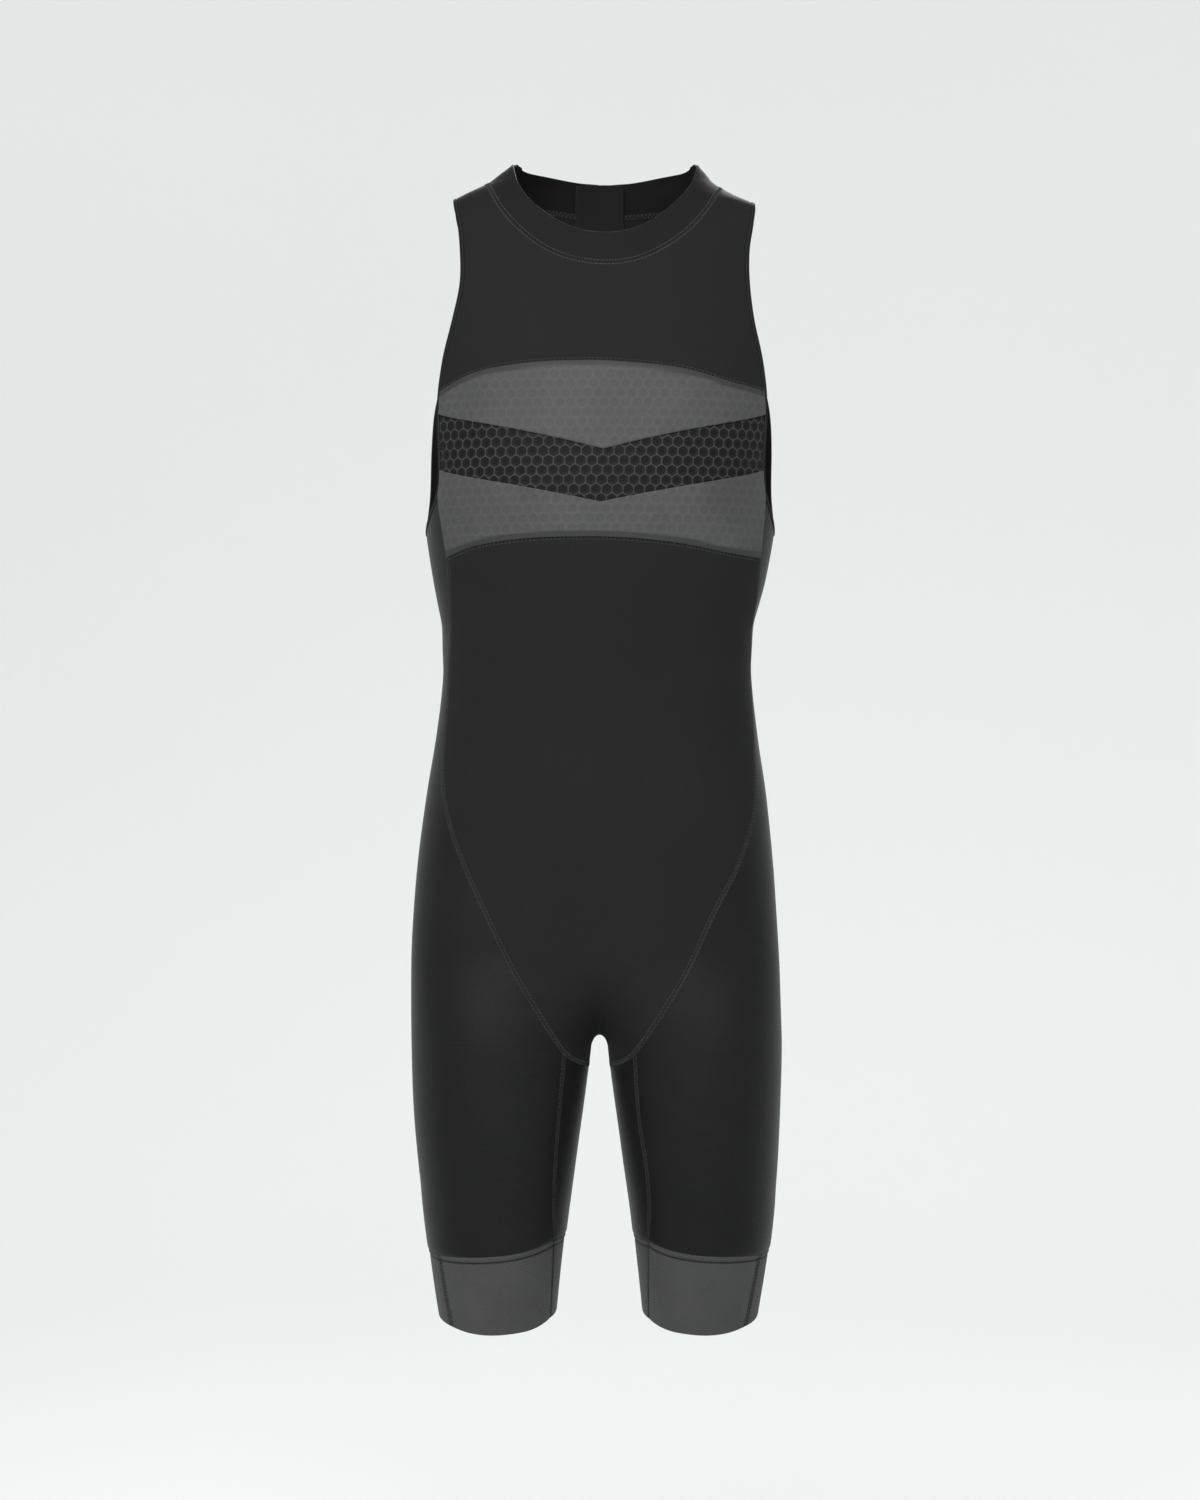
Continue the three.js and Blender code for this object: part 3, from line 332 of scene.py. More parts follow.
# Soft creases and ridges. Columns x1, y1, z1, x2, y2, z2, width, depth: two ends near the form, the
# half width, and the depth, which is below zero for a trough.
CREASES = np.array([
    [-30, -78, -652, -78, -80, -626, 10, -1.0],
    [-22, -72, -674, -54, -79, -668, 7, -0.8],
    [26, -78, -646, 68, -80, -630, 11, -0.9],
    [20, -70, -678, 60, -78, -664, 7, -0.7],
    [-40, -79, -636, -70, -80, -618, 9, 0.5],
    [-118, -62, -274, -94, -80, -304, 8, -0.8],
    [120, -60, -270, 92, -80, -294, 9, -0.8],
    [-124, -50, -320, -88, -78, -340, 11, -0.7],
    [122, -46, -326, 96, -74, -342, 10, -0.5],
    [-110, -60, -390, -58, -84, -404, 13, -0.8],
    [100, -62, -382, 54, -84, -398, 13, -0.7],
    [-100, -66, -411, -60, -84, -421, 12, 0.5],
    [92, -66, -404, 50, -84, -416, 12, 0.4],
    [-40, -72, -62, -18, -80, -82, 7, -0.5],
    [52, -70, -58, 34, -80, -80, 7, -0.45],
    [-50, -78, -735, -94, -84, -744, 10, -0.6],
    [46, -78, -738, 86, -82, -754, 9, -0.6],
    [-60, -72, -845, -102, -74, -851, 8, -0.5],
    [70, -72, -842, 106, -70, -850, 8, -0.5],
    [-100, 70, -372, -40, 86, -386, 12, -1.2],
    [96, 68, -380, 36, 86, -392, 11, -1.1],
    [-90, 72, -408, -26, 86, -414, 10, -0.9],
    [92, 70, -414, 26, 86, -426, 12, -1.0],
    [-96, 70, -391, -40, 86, -400, 10, 0.6],
    [94, 70, -398, 34, 86, -409, 10, 0.5],
    [-60, 80, -440, -20, 88, -446, 10, -0.6],
    [-112, 88, -692, -40, 100, -672, 11, -1.5],
    [110, 88, -694, 38, 100, -676, 11, -1.3],
    [-104, 80, -716, -50, 88, -704, 8, -0.8],
    [98, 82, -718, 56, 88, -708, 8, -0.7],
    [-60, 95, -70, -98, 78, -104, 11, -0.7],
    [66, 95, -74, 100, 78, -110, 10, -0.7],
    [-50, 100, -150, -88, 92, -178, 12, -0.5],
    [54, 100, -144, 90, 92, -168, 12, -0.5],
    [-60, 84, -800, -108, 80, -812, 10, -0.6],
    [58, 84, -806, 104, 80, -814, 10, -0.6],
    [-132, 12, -350, -128, -30, -372, 11, -0.9],
    [128, 14, -348, 124, -28, -368, 10, -0.8],
    [-131, 24, -392, -126, -14, -400, 10, -0.6],
    [127, 26, -388, 125, -16, -398, 10, -0.6],
    [-152, 10, -604, -146, 52, -588, 12, -0.6],
    [148, 12, -600, 142, 52, -586, 12, -0.5],
    [-146, -10, -820, -128, -50, -832, 10, -0.5],
    [142, -8, -824, 124, -50, -836, 10, -0.5],
])


# ---- the form
LEVEL_Z = SECTIONS[:, 0]
LEVEL_SIZES = SECTIONS[:, 1:]


def level_tangents():
    drops = np.diff(LEVEL_Z)[:, None]
    slopes = np.diff(LEVEL_SIZES, axis=0) / drops
    tangents = np.empty_like(LEVEL_SIZES)
    tangents[0] = slopes[0]
    tangents[-1] = slopes[-1]
    weighed = slopes[:-1] * drops[1:] + slopes[1:] * drops[:-1]
    tangents[1:-1] = weighed / (drops[:-1] + drops[1:])
    return tangents


LEVEL_TANGENTS = level_tangents()


def level_at(z):
    z = np.clip(z, LEVEL_Z[-1], LEVEL_Z[0])
    row = np.searchsorted(-LEVEL_Z, -z, side="right") - 1
    row = np.clip(row, 0, len(LEVEL_Z) - 2)
    step = (LEVEL_Z[row + 1] - LEVEL_Z[row])[..., None]
    t = (z - LEVEL_Z[row])[..., None] / step
    a = (2 * t - 3) * t * t + 1
    b = ((t - 2) * t + 1) * t * step
    c = (3 - 2 * t) * t * t
    d = (t - 1) * t * t * step
    sizes = a * LEVEL_SIZES[row] + b * LEVEL_TANGENTS[row]
    sizes += c * LEVEL_SIZES[row + 1] + d * LEVEL_TANGENTS[row + 1]
    return [sizes[..., k] for k in range(7)]


def ring_value(dx, y, half_width, depth, power):
    total = (np.abs(dx) / half_width) ** power + (np.abs(y) / depth) ** power
    return total ** (1 / power) - 1


def form_value(p):
    x, y, z = p[..., 0], p[..., 1], p[..., 2]
    neg, pos, front, back, inner, square, leg_square = level_at(z)
    depth = np.where(y < 0, front, back)
    trunk = ring_value(x - (pos - neg) / 2, y, (pos + neg) / 2, depth, square) * TRUNK_SCALE
    neg_leg = ring_value(x + (neg + inner) / 2, y, (neg - inner) / 2, depth, leg_square) * LEG_SCALE
    pos_leg = ring_value(x - (pos + inner) / 2, y, (pos - inner) / 2, depth, leg_square) * LEG_SCALE
    near = np.maximum(LEG_JOIN - np.abs(neg_leg - pos_leg), 0) / LEG_JOIN
    legs = np.minimum(neg_leg, pos_leg) - near * near * LEG_JOIN / 4
    rise = (z - LEGS_ONLY_BELOW) / (TRUNK_ONLY_ABOVE - LEGS_ONLY_BELOW)
    t = np.clip(rise, 0, 1)
    share = t * t * (3 - 2 * t)
    return legs * (1 - share) + trunk * share


def form_slope(p):
    reach = 0.05
    slope = np.empty_like(p)
    for k in range(3):
        ahead = p.copy()
        behind = p.copy()
        ahead[..., k] += reach
        behind[..., k] -= reach
        slope[..., k] = (form_value(ahead) - form_value(behind)) / (2 * reach)
    return slope


def unit(vectors):
    return vectors / np.maximum(np.linalg.norm(vectors, axis=-1, keepdims=True), 1e-9)


def onto_form(points, passes=6):
    p = np.array(points, float)
    for _ in range(passes):
        slope = form_slope(p)
        step = form_value(p) / np.maximum((slope * slope).sum(-1), 1e-6)
        p -= slope * np.clip(step, -25, 25)[..., None]
    return p


def crease_height(p):
    """How far the worn cloth stands off the smooth form at these points."""
    x, y, z = p[..., 0], p[..., 1], p[..., 2]
    height = 0.22 * np.sin(x / 31 + z / 57 + 0.8) * np.sin(z / 43 - y / 52)
    height += 0.13 * np.sin(x / 17 - z / 29 + 2.1) * np.sin(z / 21 + y / 34 + 0.5)
    for x1, y1, z1, x2, y2, z2, width, depth in CREASES:
        start, end = np.array([x1, y1, z1]), np.array([x2, y2, z2])
        run = end - start
        t = np.clip((p - start) @ run / (run @ run), 0, 1)
        away = np.linalg.norm(p - start - t[..., None] * run, axis=-1)
        fade = 0.45 + 0.55 * np.sin(math.pi * np.clip(t, 0.08, 0.92))
        height += depth * fade * np.exp(-(away / width) ** 2)
    return height


# ---- seams
def spline(points, closed, where):
    count = len(points)
    spans = count if closed else count - 1
    span = np.clip(np.floor(where).astype(int), 0, spans - 1)
    weight = (where - span)[:, None]
    if closed:
        p0, p1, p2, p3 = [points[(span + k) % count] for k in (-1, 0, 1, 2)]
    else:
        before = 2 * points[0] - points[1]
        after = 2 * points[-1] - points[-2]
        longer = np.vstack([before, points, after])
        p0, p1, p2, p3 = [longer[span + k] for k in (0, 1, 2, 3)]
    d0, d1, d2 = [np.sqrt(np.linalg.norm(b - a, axis=1))[:, None] for a, b in ((p0, p1), (p1, p2), (p2, p3))]
    leave = ((p1 - p0) / d0 - (p2 - p0) / (d0 + d1) + (p2 - p1) / d1) * d1
    arrive = ((p2 - p1) / d1 - (p3 - p1) / (d1 + d2) + (p3 - p2) / d2) * d1
    c2 = -3 * p1 + 3 * p2 - 2 * leave - arrive
    c3 = 2 * p1 - 2 * p2 + leave + arrive
    return p1 + weight * (leave + weight * (c2 + weight * c3))


def run_length(points):
    return np.concatenate([[0], np.cumsum(np.linalg.norm(np.diff(points, axis=0), axis=1))])


def evenly(points, count):
    lengths = run_length(points)
    wanted = np.linspace(0, lengths[-1], count)
    return np.stack([np.interp(wanted, lengths, points[:, k]) for k in range(3)], axis=1)


def even_points(points, closed, start, end, cells):
    samples = spline(points, closed, np.linspace(start, end, cells * FINE * 5 + 1))
    return onto_form(evenly(samples, cells * FINE + 1))


def seam_parts(guides, closed=False):
    """guides is a list of (point, cells). A closed line's last guide stands where its first does."""
    places = guides[:-1] if closed else guides
    points = onto_form([point for point, _ in places], 14)
    parts = []
    start = 0
    for index, (_, cells) in enumerate(guides):
        if cells > 0:
            parts.append(even_points(points, closed, start, index, cells))
            start = index
    return parts


def straight_seam(start, end, cells):
    share = np.linspace(0, 1, cells * FINE + 1)[:, None]
    points = onto_form(start * (1 - share) + end * share)
    points[0], points[-1] = start, end
    return points


def plain_guides(table):
    return [(np.array([x, y, z], float), cells) for x, y, z, cells in table]


def side_guides(table, side):
    return [(np.array([neg if side < 0 else pos, y, z], float), cells) for neg, pos, y, z, cells in table]


def pair_guides(table, side):
    chosen = []
    for neg_x, neg_y, pos_x, pos_y, z, cells in table:
        x, y = (neg_x, neg_y) if side < 0 else (pos_x, pos_y)
        chosen.append((np.array([x, y, z], float), cells))
    return chosen


def slot_guides(table, side, share=1):
    return [(np.array([x + side * opened * share, y, z], float), cells) for x, opened, y, z, cells in table]


def from_point(point, guides):
    return [(point, 0)] + guides


def joined(*parts):
    points = [parts[0][:1]]
    for part in parts:
        points.append(part[1:])
    return np.vstack(points)


def looped(line):
    return np.vstack([line, line[:1]])


def sample(edge, at):
    place = np.clip(at * FINE, 0, len(edge) - 1)
    low = np.minimum(place.astype(int), len(edge) - 2)
    part = (place - low)[:, None]
    return edge[low] * (1 - part) + edge[low + 1] * part


def resampled(edge, cells):
    """The same edge with another number of cells."""
    return sample(edge, np.linspace(0, (len(edge) - 1) / FINE, cells * FINE + 1))


NEAR_SEAM = (0.028, 0.075)


def steps(cells, first=True, last=True, per_cell=FINE):
    """Places along an edge in cells, with two more lines close beside a sewn edge."""
    places = list(np.arange(cells * per_cell + 1) / per_cell)
    places += [near for near in NEAR_SEAM if first]
    places += [cells - near for near in NEAR_SEAM if last]
    return np.unique(np.round(places, 5))


def cells_of(edge):
    return (len(edge) - 1) // FINE


def patch(low, top, start, end, columns=None, rows=None):
    """A patch between four edges: low and top run one way, start and end the other."""
    columns = steps(cells_of(low)) if columns is None else columns
    rows = steps(cells_of(start)) if rows is None else rows
    u = (columns / cells_of(low))[None, :, None]
    v = (rows / cells_of(start))[:, None, None]
    low_line, top_line = sample(low, columns), sample(top, columns)
    start_line, end_line = sample(start, rows), sample(end, rows)
    grid = (1 - v) * low_line + v * top_line + (1 - u) * start_line[:, None] + u * end_line[:, None]
    grid -= (1 - u) * (1 - v) * low[0] + u * (1 - v) * low[-1] + (1 - u) * v * top[0] + u * v * top[-1]
    grid[1:-1, 1:-1] = onto_form(grid[1:-1, 1:-1])
    grid[1:-1, 0], grid[1:-1, -1] = start_line[1:-1], end_line[1:-1]
    grid[0], grid[-1] = low_line, top_line
    return grid


def beside(left, right):
    return np.concatenate([left, right[:, 1:]], axis=1)


def below(*grids):
    return np.concatenate([grids[0]] + [grid[1:] for grid in grids[1:]], axis=0)


def between(top, low, shares):
    shares = np.asarray(shares)[:, None, None]
    return onto_form(top[None] * (1 - shares) + low[None] * shares)


def side_seams(side):
    """All seams of one side: -1 is the -X side and 1 the +X side."""
    edge_parts = seam_parts(side_guides(ARMHOLE, side), True)
    edge = joined(*edge_parts)[:-1]
    along = unit(np.roll(edge, -1, axis=0) - np.roll(edge, 1, axis=0))
    away = np.cross(unit(form_slope(edge)), along) * (1 if side < 0 else -1)
    band = onto_form(edge + away * BINDING_WIDTH)
    arm = []
    at = 0
    for part in edge_parts:
        arm.append(band[np.arange(at, at + len(part)) % len(band)])
        at += len(part) - 1
    names = "arm_strap arm_yoke arm_upper arm_middle arm_lower arm_under arm_back arm_back_strap"
    seams = dict(zip(names.split(), arm))
    front_corner, back_corner = seams["arm_lower"][-1], seams["arm_under"][-1]
    front = seam_parts(from_point(front_corner, pair_guides(FRONT_SEAM, side)))
    seams.update(zip("chest_side front_waist front_hip crotch_side crotch_back".split(), front))
    front_knee, back_knee = seams["front_hip"][-1], seams["crotch_back"][-1]
    back_guides = from_point(back_corner, pair_guides(BACK_SEAM, side))
    back_guides[-1] = (back_knee, back_guides[-1][1])
    seams.update(zip("back_waist back_hip back_seat".split(), seam_parts(back_guides)))
    seams["inner_front"] = seam_parts(from_point(front_knee, pair_guides(INNER_FRONT_SEAM, side)))[0]
    seams["inner_back"] = seam_parts(from_point(back_knee, pair_guides(INNER_BACK_SEAM, side)))[0]
    cuff_front, cuff_back = seams["inner_front"][-1], seams["inner_back"][-1]
    cuff_guides = from_point(cuff_front, side_guides(CUFF_TOP, side))
    cuff_guides[-1] = (cuff_front, cuff_guides[-1][1])
    cuff_guides[-3] = (cuff_back, cuff_guides[-3][1])
    seams["cuff_top"] = seam_parts(cuff_guides)
    seams["hem"] = seam_parts(side_guides(HEM, side))
    seams["edge"], seams["band"] = edge, band
    return seams


SEAMS = {-1: side_seams(-1), 1: side_seams(1)}
neg, pos = SEAMS[-1], SEAMS[1]
neck = seam_parts(plain_guides(NECK_SEAM))
collar_top = seam_parts(plain_guides(COLLAR_TOP))
centre_yoke, centre_upper, centre_middle, centre_lower, centre_body, centre_crotch = seam_parts(
    plain_guides(CENTRE_FRONT)
)
slots = {side: seam_parts(slot_guides(CENTRE_BACK, side)) for side in (-1, 1)}
zip_line = seam_parts(slot_guides(CENTRE_BACK, 1, 0))
shoulders = {
    -1: straight_seam(neg["band"][0], neck[1][0], SHOULDER_CELLS),
    1: straight_seam(pos["band"][0], neck[3][0], SHOULDER_CELLS),
}


def edge_to_centre(edge_point, table, centre_point):
    guides = from_point(edge_point, plain_guides(table))
    guides[-1] = (centre_point, HALF_COLUMNS)
    return seam_parts(guides)[0]


def from_pos_side(table):
    return table[::-1] + [[0, 0, 0, HALF_COLUMNS]]


chest_top = {
    -1: edge_to_centre(neg["arm_upper"][0], CHEST_TOP_NEG, centre_upper[0]),
    1: edge_to_centre(pos["arm_upper"][0], from_pos_side(CHEST_TOP_POS), centre_upper[0]),
}
chest_low = {
    -1: edge_to_centre(neg["chest_side"][-1], CHEST_LOW_NEG, centre_lower[-1]),
    1: edge_to_centre(pos["chest_side"][-1], from_pos_side(CHEST_LOW_POS), centre_lower[-1]),
}
vee_top, vee_low, knee, crotch_end = {}, {}, {}, {}
for side, seams in SEAMS.items():
    vee_top[side] = straight_seam(seams["arm_middle"][0], centre_middle[0], HALF_COLUMNS)
    vee_low[side] = straight_seam(seams["arm_lower"][0], centre_lower[0], HALF_COLUMNS)
    knee[side] = straight_seam(seams["front_hip"][-1], centre_body[-1], HALF_COLUMNS)
    crotch_end[side] = straight_seam(seams["crotch_side"][-1], centre_crotch[-1], HALF_COLUMNS)


# ---- patches: rows go down the garment, columns from the outer edge to the centre
def both_halves(up, down, edges, centre, rows, per_cell=FINE):
    columns = steps(HALF_COLUMNS, True, False, per_cell)
    left = patch(up[-1], down[-1], edges[-1], centre, columns, rows)
    other = HALF_COLUMNS - columns[::-1]
    right = patch(up[1][::-1], down[1][::-1], centre, edges[1], other, rows)
    return beside(left, right)


def strap_patches(shoulder, arm_strap, neck_edge, centre_sewn):
    """A strap runs from the shoulder seam down between the armhole and the neck."""
    split = STRAP_ROWS * FINE
    neck_strap = neck_edge[:split + 1]
    foot = straight_seam(arm_strap[-1], neck_strap[-1], SHOULDER_CELLS)
    foot_places = steps(SHOULDER_CELLS)
    strap = patch(shoulder, foot, arm_strap, neck_strap, foot_places, steps(STRAP_ROWS, True, False))
    top = joined(foot, neck_edge[split:])
    rest_cells = cells_of(top) - SHOULDER_CELLS
    columns = np.concatenate([foot_places, SHOULDER_CELLS + steps(rest_cells, False, centre_sewn)])
    return strap, top, np.unique(np.round(columns, 5))


def yoke_grids():
    straps, rests = [], []
    for side, neck_edge in ((-1, neck[1]), (1, neck[2][::-1])):
        seams = SEAMS[side]
        strap, top, columns = strap_patches(shoulders[side], seams["arm_strap"], neck_edge, False)
        rows = steps(cells_of(centre_yoke))
        rests.append(patch(top, chest_top[side], seams["arm_yoke"], centre_yoke, columns, rows))
        straps.append(strap)
    return straps + [beside(rests[0], rests[1][:, ::-1])]


def crown_grid(part, per_cell, row_cells):
    """One of the chest's three bands: 0 above the vee, 1 the vee itself, 2 below it."""
    if part == 0:
        edges = {side: resampled(SEAMS[side]["arm_upper"], 3) for side in (-1, 1)}
        return both_halves(chest_top, vee_top, edges, centre_upper, row_cells, per_cell)
    if part == 1:
        edges = {side: SEAMS[side]["arm_middle"] for side in (-1, 1)}
        return both_halves(vee_top, vee_low, edges, centre_middle, row_cells, per_cell)
    edges = {side: joined(SEAMS[side]["arm_lower"], SEAMS[side]["chest_side"]) for side in (-1, 1)}
    centre = resampled(centre_lower, cells_of(edges[-1]))
    return both_halves(vee_low, chest_low, edges, centre, row_cells, per_cell)


def body_grid():
    edges = {side: joined(SEAMS[side]["front_waist"], SEAMS[side]["front_hip"]) for side in (-1, 1)}
    front = both_halves(chest_low, knee, edges, centre_body, steps(cells_of(centre_body), True, False))
    under_edges = {side: SEAMS[side]["crotch_side"] for side in (-1, 1)}
    rows = steps(cells_of(centre_crotch), False, True)
    return below(front, both_halves(knee, crotch_end, under_edges, centre_crotch, rows))


def back_grids(side):
    seams, slot = SEAMS[side], slots[side]
    neck_edge = neck[0][::-1] if side < 0 else neck[3]
    arm_rest = joined(seams["arm_back"][::-1], seams["back_waist"], seams["back_hip"])
    strap, top, columns = strap_patches(shoulders[side], seams["arm_back_strap"][::-1], neck_edge, True)
    count = cells_of(top)
    seat_row = straight_seam(seams["back_hip"][-1], zip_line[3][-1], count)
    centre = joined(slot[1], slot[2], zip_line[3])
    rest = patch(top, seat_row, arm_rest, centre, columns, steps(cells_of(centre), True, False))
    end = resampled(crotch_end[side], count - cells_of(seams["crotch_back"]))
    low = joined(seams["crotch_back"][::-1], end)
    seat_rows = steps(cells_of(zip_line[4]), False, True)
    return [strap, below(rest, patch(seat_row, low, seams["back_seat"], zip_line[4], columns, seat_rows))]


def round_row(start, table, end, side):
    guides = from_point(start, side_guides(table, side)) + [(end, ROUND_CELLS)]
    return seam_parts(guides)[0]


def leg_grid(side):
    """The side panel narrows at the waist, widens over the hip and wraps round the leg."""
    seams = SEAMS[side]
    low = joined(seams["cuff_top"][0], seams["cuff_top"][1])
    hip_row = round_row(seams["front_waist"][-1], HIP_RING, seams["back_waist"][-1], side)
    thigh_row = round_row(seams["front_hip"][-1], THIGH_RING, seams["back_seat"][-1], side)
    columns = steps(ROUND_CELLS)
    front_top = joined(seams["chest_side"], seams["front_waist"])
    back_low = joined(seams["back_hip"], seams["back_seat"])
    bands = [
        (seams["arm_under"], hip_row, front_top, seams["back_waist"], True, False),
        (hip_row, thigh_row, seams["front_hip"], back_low, False, False),
        (thigh_row, low, seams["inner_front"], seams["inner_back"], False, True),
    ]
    return below(*[
        patch(top, foot, start, end, columns, steps(cells_of(start), *sewn))
        for top, foot, start, end, *sewn in bands
    ])


def thigh_grid(side):
    seams = SEAMS[side]
    top = joined(seams["crotch_side"], seams["crotch_back"])
    return patch(top, seams["cuff_top"][2][::-1], seams["inner_front"], seams["inner_back"])


def strip_grid(line, half_width, cells, shift=0):
    across = np.linspace(-half_width, half_width, cells + 1) + shift
    grid = np.repeat(line[:, None, :], cells + 1, axis=1)
    grid[:, :, 0] += across[None, :]
    return onto_form(grid)


# ---- cloth: a grid of points becomes a closed shell with rounded, sewn edges
def grid_lengths(grid):
    """Length across from the middle column and length down it, for every point."""
    middle = grid.shape[1] // 2
    across = np.linalg.norm(np.diff(grid, axis=1), axis=2)
    across = np.concatenate([np.zeros((len(grid), 1)), np.cumsum(across, axis=1)], axis=1)
    across -= across[:, middle:middle + 1]
    down = run_length(grid[:, middle])
    return np.stack([across, np.repeat(-down[:, None], grid.shape[1], axis=1)], axis=2)


def cell_areas(grid):
    a, b, c, d = grid[:-1, :-1], grid[:-1, 1:], grid[1:, 1:], grid[1:, :-1]
    return np.linalg.norm(np.cross(c - a, d - b), axis=2) / 2


def build_mesh(name, points, quads, uvs=None, sharp=50, seam_shades=None):
    """points in millimetres, quads as rows of four, uvs for each corner of each quad."""
    mesh = bpy.data.meshes.new(name)
    mesh.vertices.add(len(points))
    mesh.vertices.foreach_set("co", (np.asarray(points) * MM).astype(np.float32).ravel())
    mesh.loops.add(quads.size)
    mesh.loops.foreach_set("vertex_index", quads.astype(np.int32).ravel())
    mesh.polygons.add(len(quads))
    size = quads.shape[1]
    mesh.polygons.foreach_set("loop_start", np.arange(0, quads.size, size, dtype=np.int32))
    mesh.update(calc_edges=True)
    mesh.validate()
    mesh.polygons.foreach_set("use_smooth", np.ones(len(mesh.polygons), bool))
    if uvs is not None:
        layer = mesh.uv_layers.new(name="cloth")
        layer.data.foreach_set("uv", (uvs * 0.01).astype(np.float32).ravel())
    # Painted shade beside seams goes on the points, for the finishes to darken the colour there.
    if seam_shades is not None:
        attribute = mesh.attributes.new("mark", "FLOAT", "POINT")
        attribute.data.foreach_set("value", seam_shades.astype(np.float32))
    mesh.set_sharp_from_angle(angle=math.radians(sharp))
    piece = bpy.data.objects.new(name, mesh)
    bpy.context.scene.collection.objects.link(piece)
    return piece


EDGE_DIPS = (0.42, 0.15, 0.03)


def shell(
    name, grids, lift=0, wall=WALL, gap=SEAM_GAP, raised=None, folds=0, lengths=None,
    dips=EDGE_DIPS, seam_shades=None,
):
    """A cloth piece on the form.

    raised holds, grid by grid, what stands proud of its face; the painted seam shade, grid by grid, is 0 to
    1 where the colour is painted darker beside a seam. folds is how far both faces of a piece of one grid
    are bent out.
    """
    if not isinstance(grids, list):
        grids = [grids]
    raised = [0] * len(grids) if raised is None else raised
    seam_shades = [0] * len(grids) if seam_shades is None else seam_shades
    flat = np.vstack([grid.reshape(-1, 3) for grid in grids])
    proud = np.concatenate([np.broadcast_to(r, g.shape[:2]).ravel() for r, g in zip(raised, grids)])
    seam_shaded = np.concatenate([np.broadcast_to(m, g.shape[:2]).ravel() for m, g in zip(seam_shades, grids)])
    uv_flat = np.vstack([grid_lengths(g).reshape(-1, 2) for g in grids]) if lengths is None else lengths
    _, chosen, index = np.unique(np.round(flat, 3), axis=0, return_index=True, return_inverse=True)
    index = index.ravel()
    base = flat[chosen].copy()
    normal = unit(form_slope(base))
    quads, corners = [], []
    at = 0
    for grid in grids:
        rows, columns = grid.shape[:2]
        number = np.arange(rows * columns).reshape(rows, columns) + at
        four = [number[:-1, :-1], number[:-1, 1:], number[1:, 1:], number[1:, :-1]]
        four = np.stack(four, axis=2).reshape(-1, 4)
        a, b, c, d = [flat[four[:, k]] for k in range(4)]
        facing = (np.cross(c - a, d - b) * normal[index[four[:, 0]]]).sum()
        if facing < 0:
            four = four[:, ::-1]
        quads.append(index[four])
        corners.append(four)
        at += rows * columns
    quads, corners = np.vstack(quads), np.vstack(corners)
    whole = (quads != np.roll(quads, -1, axis=1)).all(axis=1)
    quads, corners = quads[whole], corners[whole]
    count = len(base)
    start, end = quads.ravel(), np.roll(quads, -1, axis=1).ravel()
    free = ~np.isin(start * count + end, end * count + start)
    rim_start, rim_end = start[free], end[free]
    previous, following = np.zeros(count, int), np.zeros(count, int)
    previous[rim_end] = rim_start
    following[rim_start] = rim_end
    on_rim = rim_start
    before = unit(base[on_rim] - base[previous[on_rim]])
    after = unit(base[following[on_rim]] - base[on_rim])
    side_before = np.cross(normal[on_rim], before)
    side_after = np.cross(normal[on_rim], after)
    spread = np.maximum(1 + (side_before * side_after).sum(1), 0.25)[:, None]
    inward = (side_before + side_after) / spread
    height = crease_height(base)
    if np.ndim(folds):
        height += np.broadcast_to(folds, grids[0].shape[:2]).ravel()[chosen]
    base[on_rim] += inward * gap
    dip = np.zeros(count)
    reached = np.zeros(count, bool)
    reached[on_rim] = True
    dip[on_rim] = dips[0]
    for depth in dips[1:]:
        beside_rim = np.zeros(count, bool)
        beside_rim[end[reached[start]]] = True
        beside_rim[start[reached[end]]] = True
        beside_rim &= ~reached
        dip[beside_rim] = depth
        reached |= beside_rim
    outer_lift = lift + height + proud[chosen] - dip
    inner_lift = lift - wall + height
    points = np.vstack([base + normal * outer_lift[:, None], base + normal * inner_lift[:, None]])
    rim_quads = np.stack([rim_end, rim_start, rim_start + count, rim_end + count], axis=1)
    all_quads = np.vstack([quads, quads[:, ::-1] + count, rim_quads])
    first_use = np.zeros(count, int)
    first_use[quads.ravel()] = corners.ravel()
    rim_corners = first_use[rim_quads % count]
    uvs = uv_flat[np.vstack([corners, corners[:, ::-1], rim_corners])]
    piece = build_mesh(name, points, all_quads, uvs, 50, np.concatenate([seam_shaded[chosen], seam_shaded[chosen]]))
    widest = max(run_length(row)[-1] for grid in grids for row in grid[::4])
    longest = max(run_length(grids[-1][:, column])[-1] for column in range(0, grids[-1].shape[1], 4))
    if len(grids) > 1:
        longest += run_length(grids[0][:, 0])[-1]
    area = sum(cell_areas(grid).sum() for grid in grids)
    piece["flat_width"], piece["flat_length"], piece["flat_area"] = widest * MM, longest * MM, area * MM * MM
    return piece


NARROWEST_CUT = 0.0101


def wear(piece, finish, slot, *nodes, rests_on=()):
    """Puts a finished cloth piece in place of its solids and takes off the flat sizes it carried."""
    piece.data.materials.append(finish)
    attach(piece, BODY)
    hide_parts(*nodes)
    width = max(piece["flat_width"], NARROWEST_CUT)
    length = max(piece["flat_length"], NARROWEST_CUT)
    area = piece["flat_area"]
    area = min(max(area, 0.301 * width * length), width * length)
    for key in ("flat_width", "flat_length", "flat_area"):
        del piece[key]
    return piece


# ---- finishes
def both_ways(operation):
    """An operation on two values, as it is and with the values changed over."""
    return (
        lambda self, other: self.maths(operation, self, other),
        lambda self, other: self.maths(operation, other, self),
    )


def alone(operation):
    return lambda self: self.maths(operation, self)


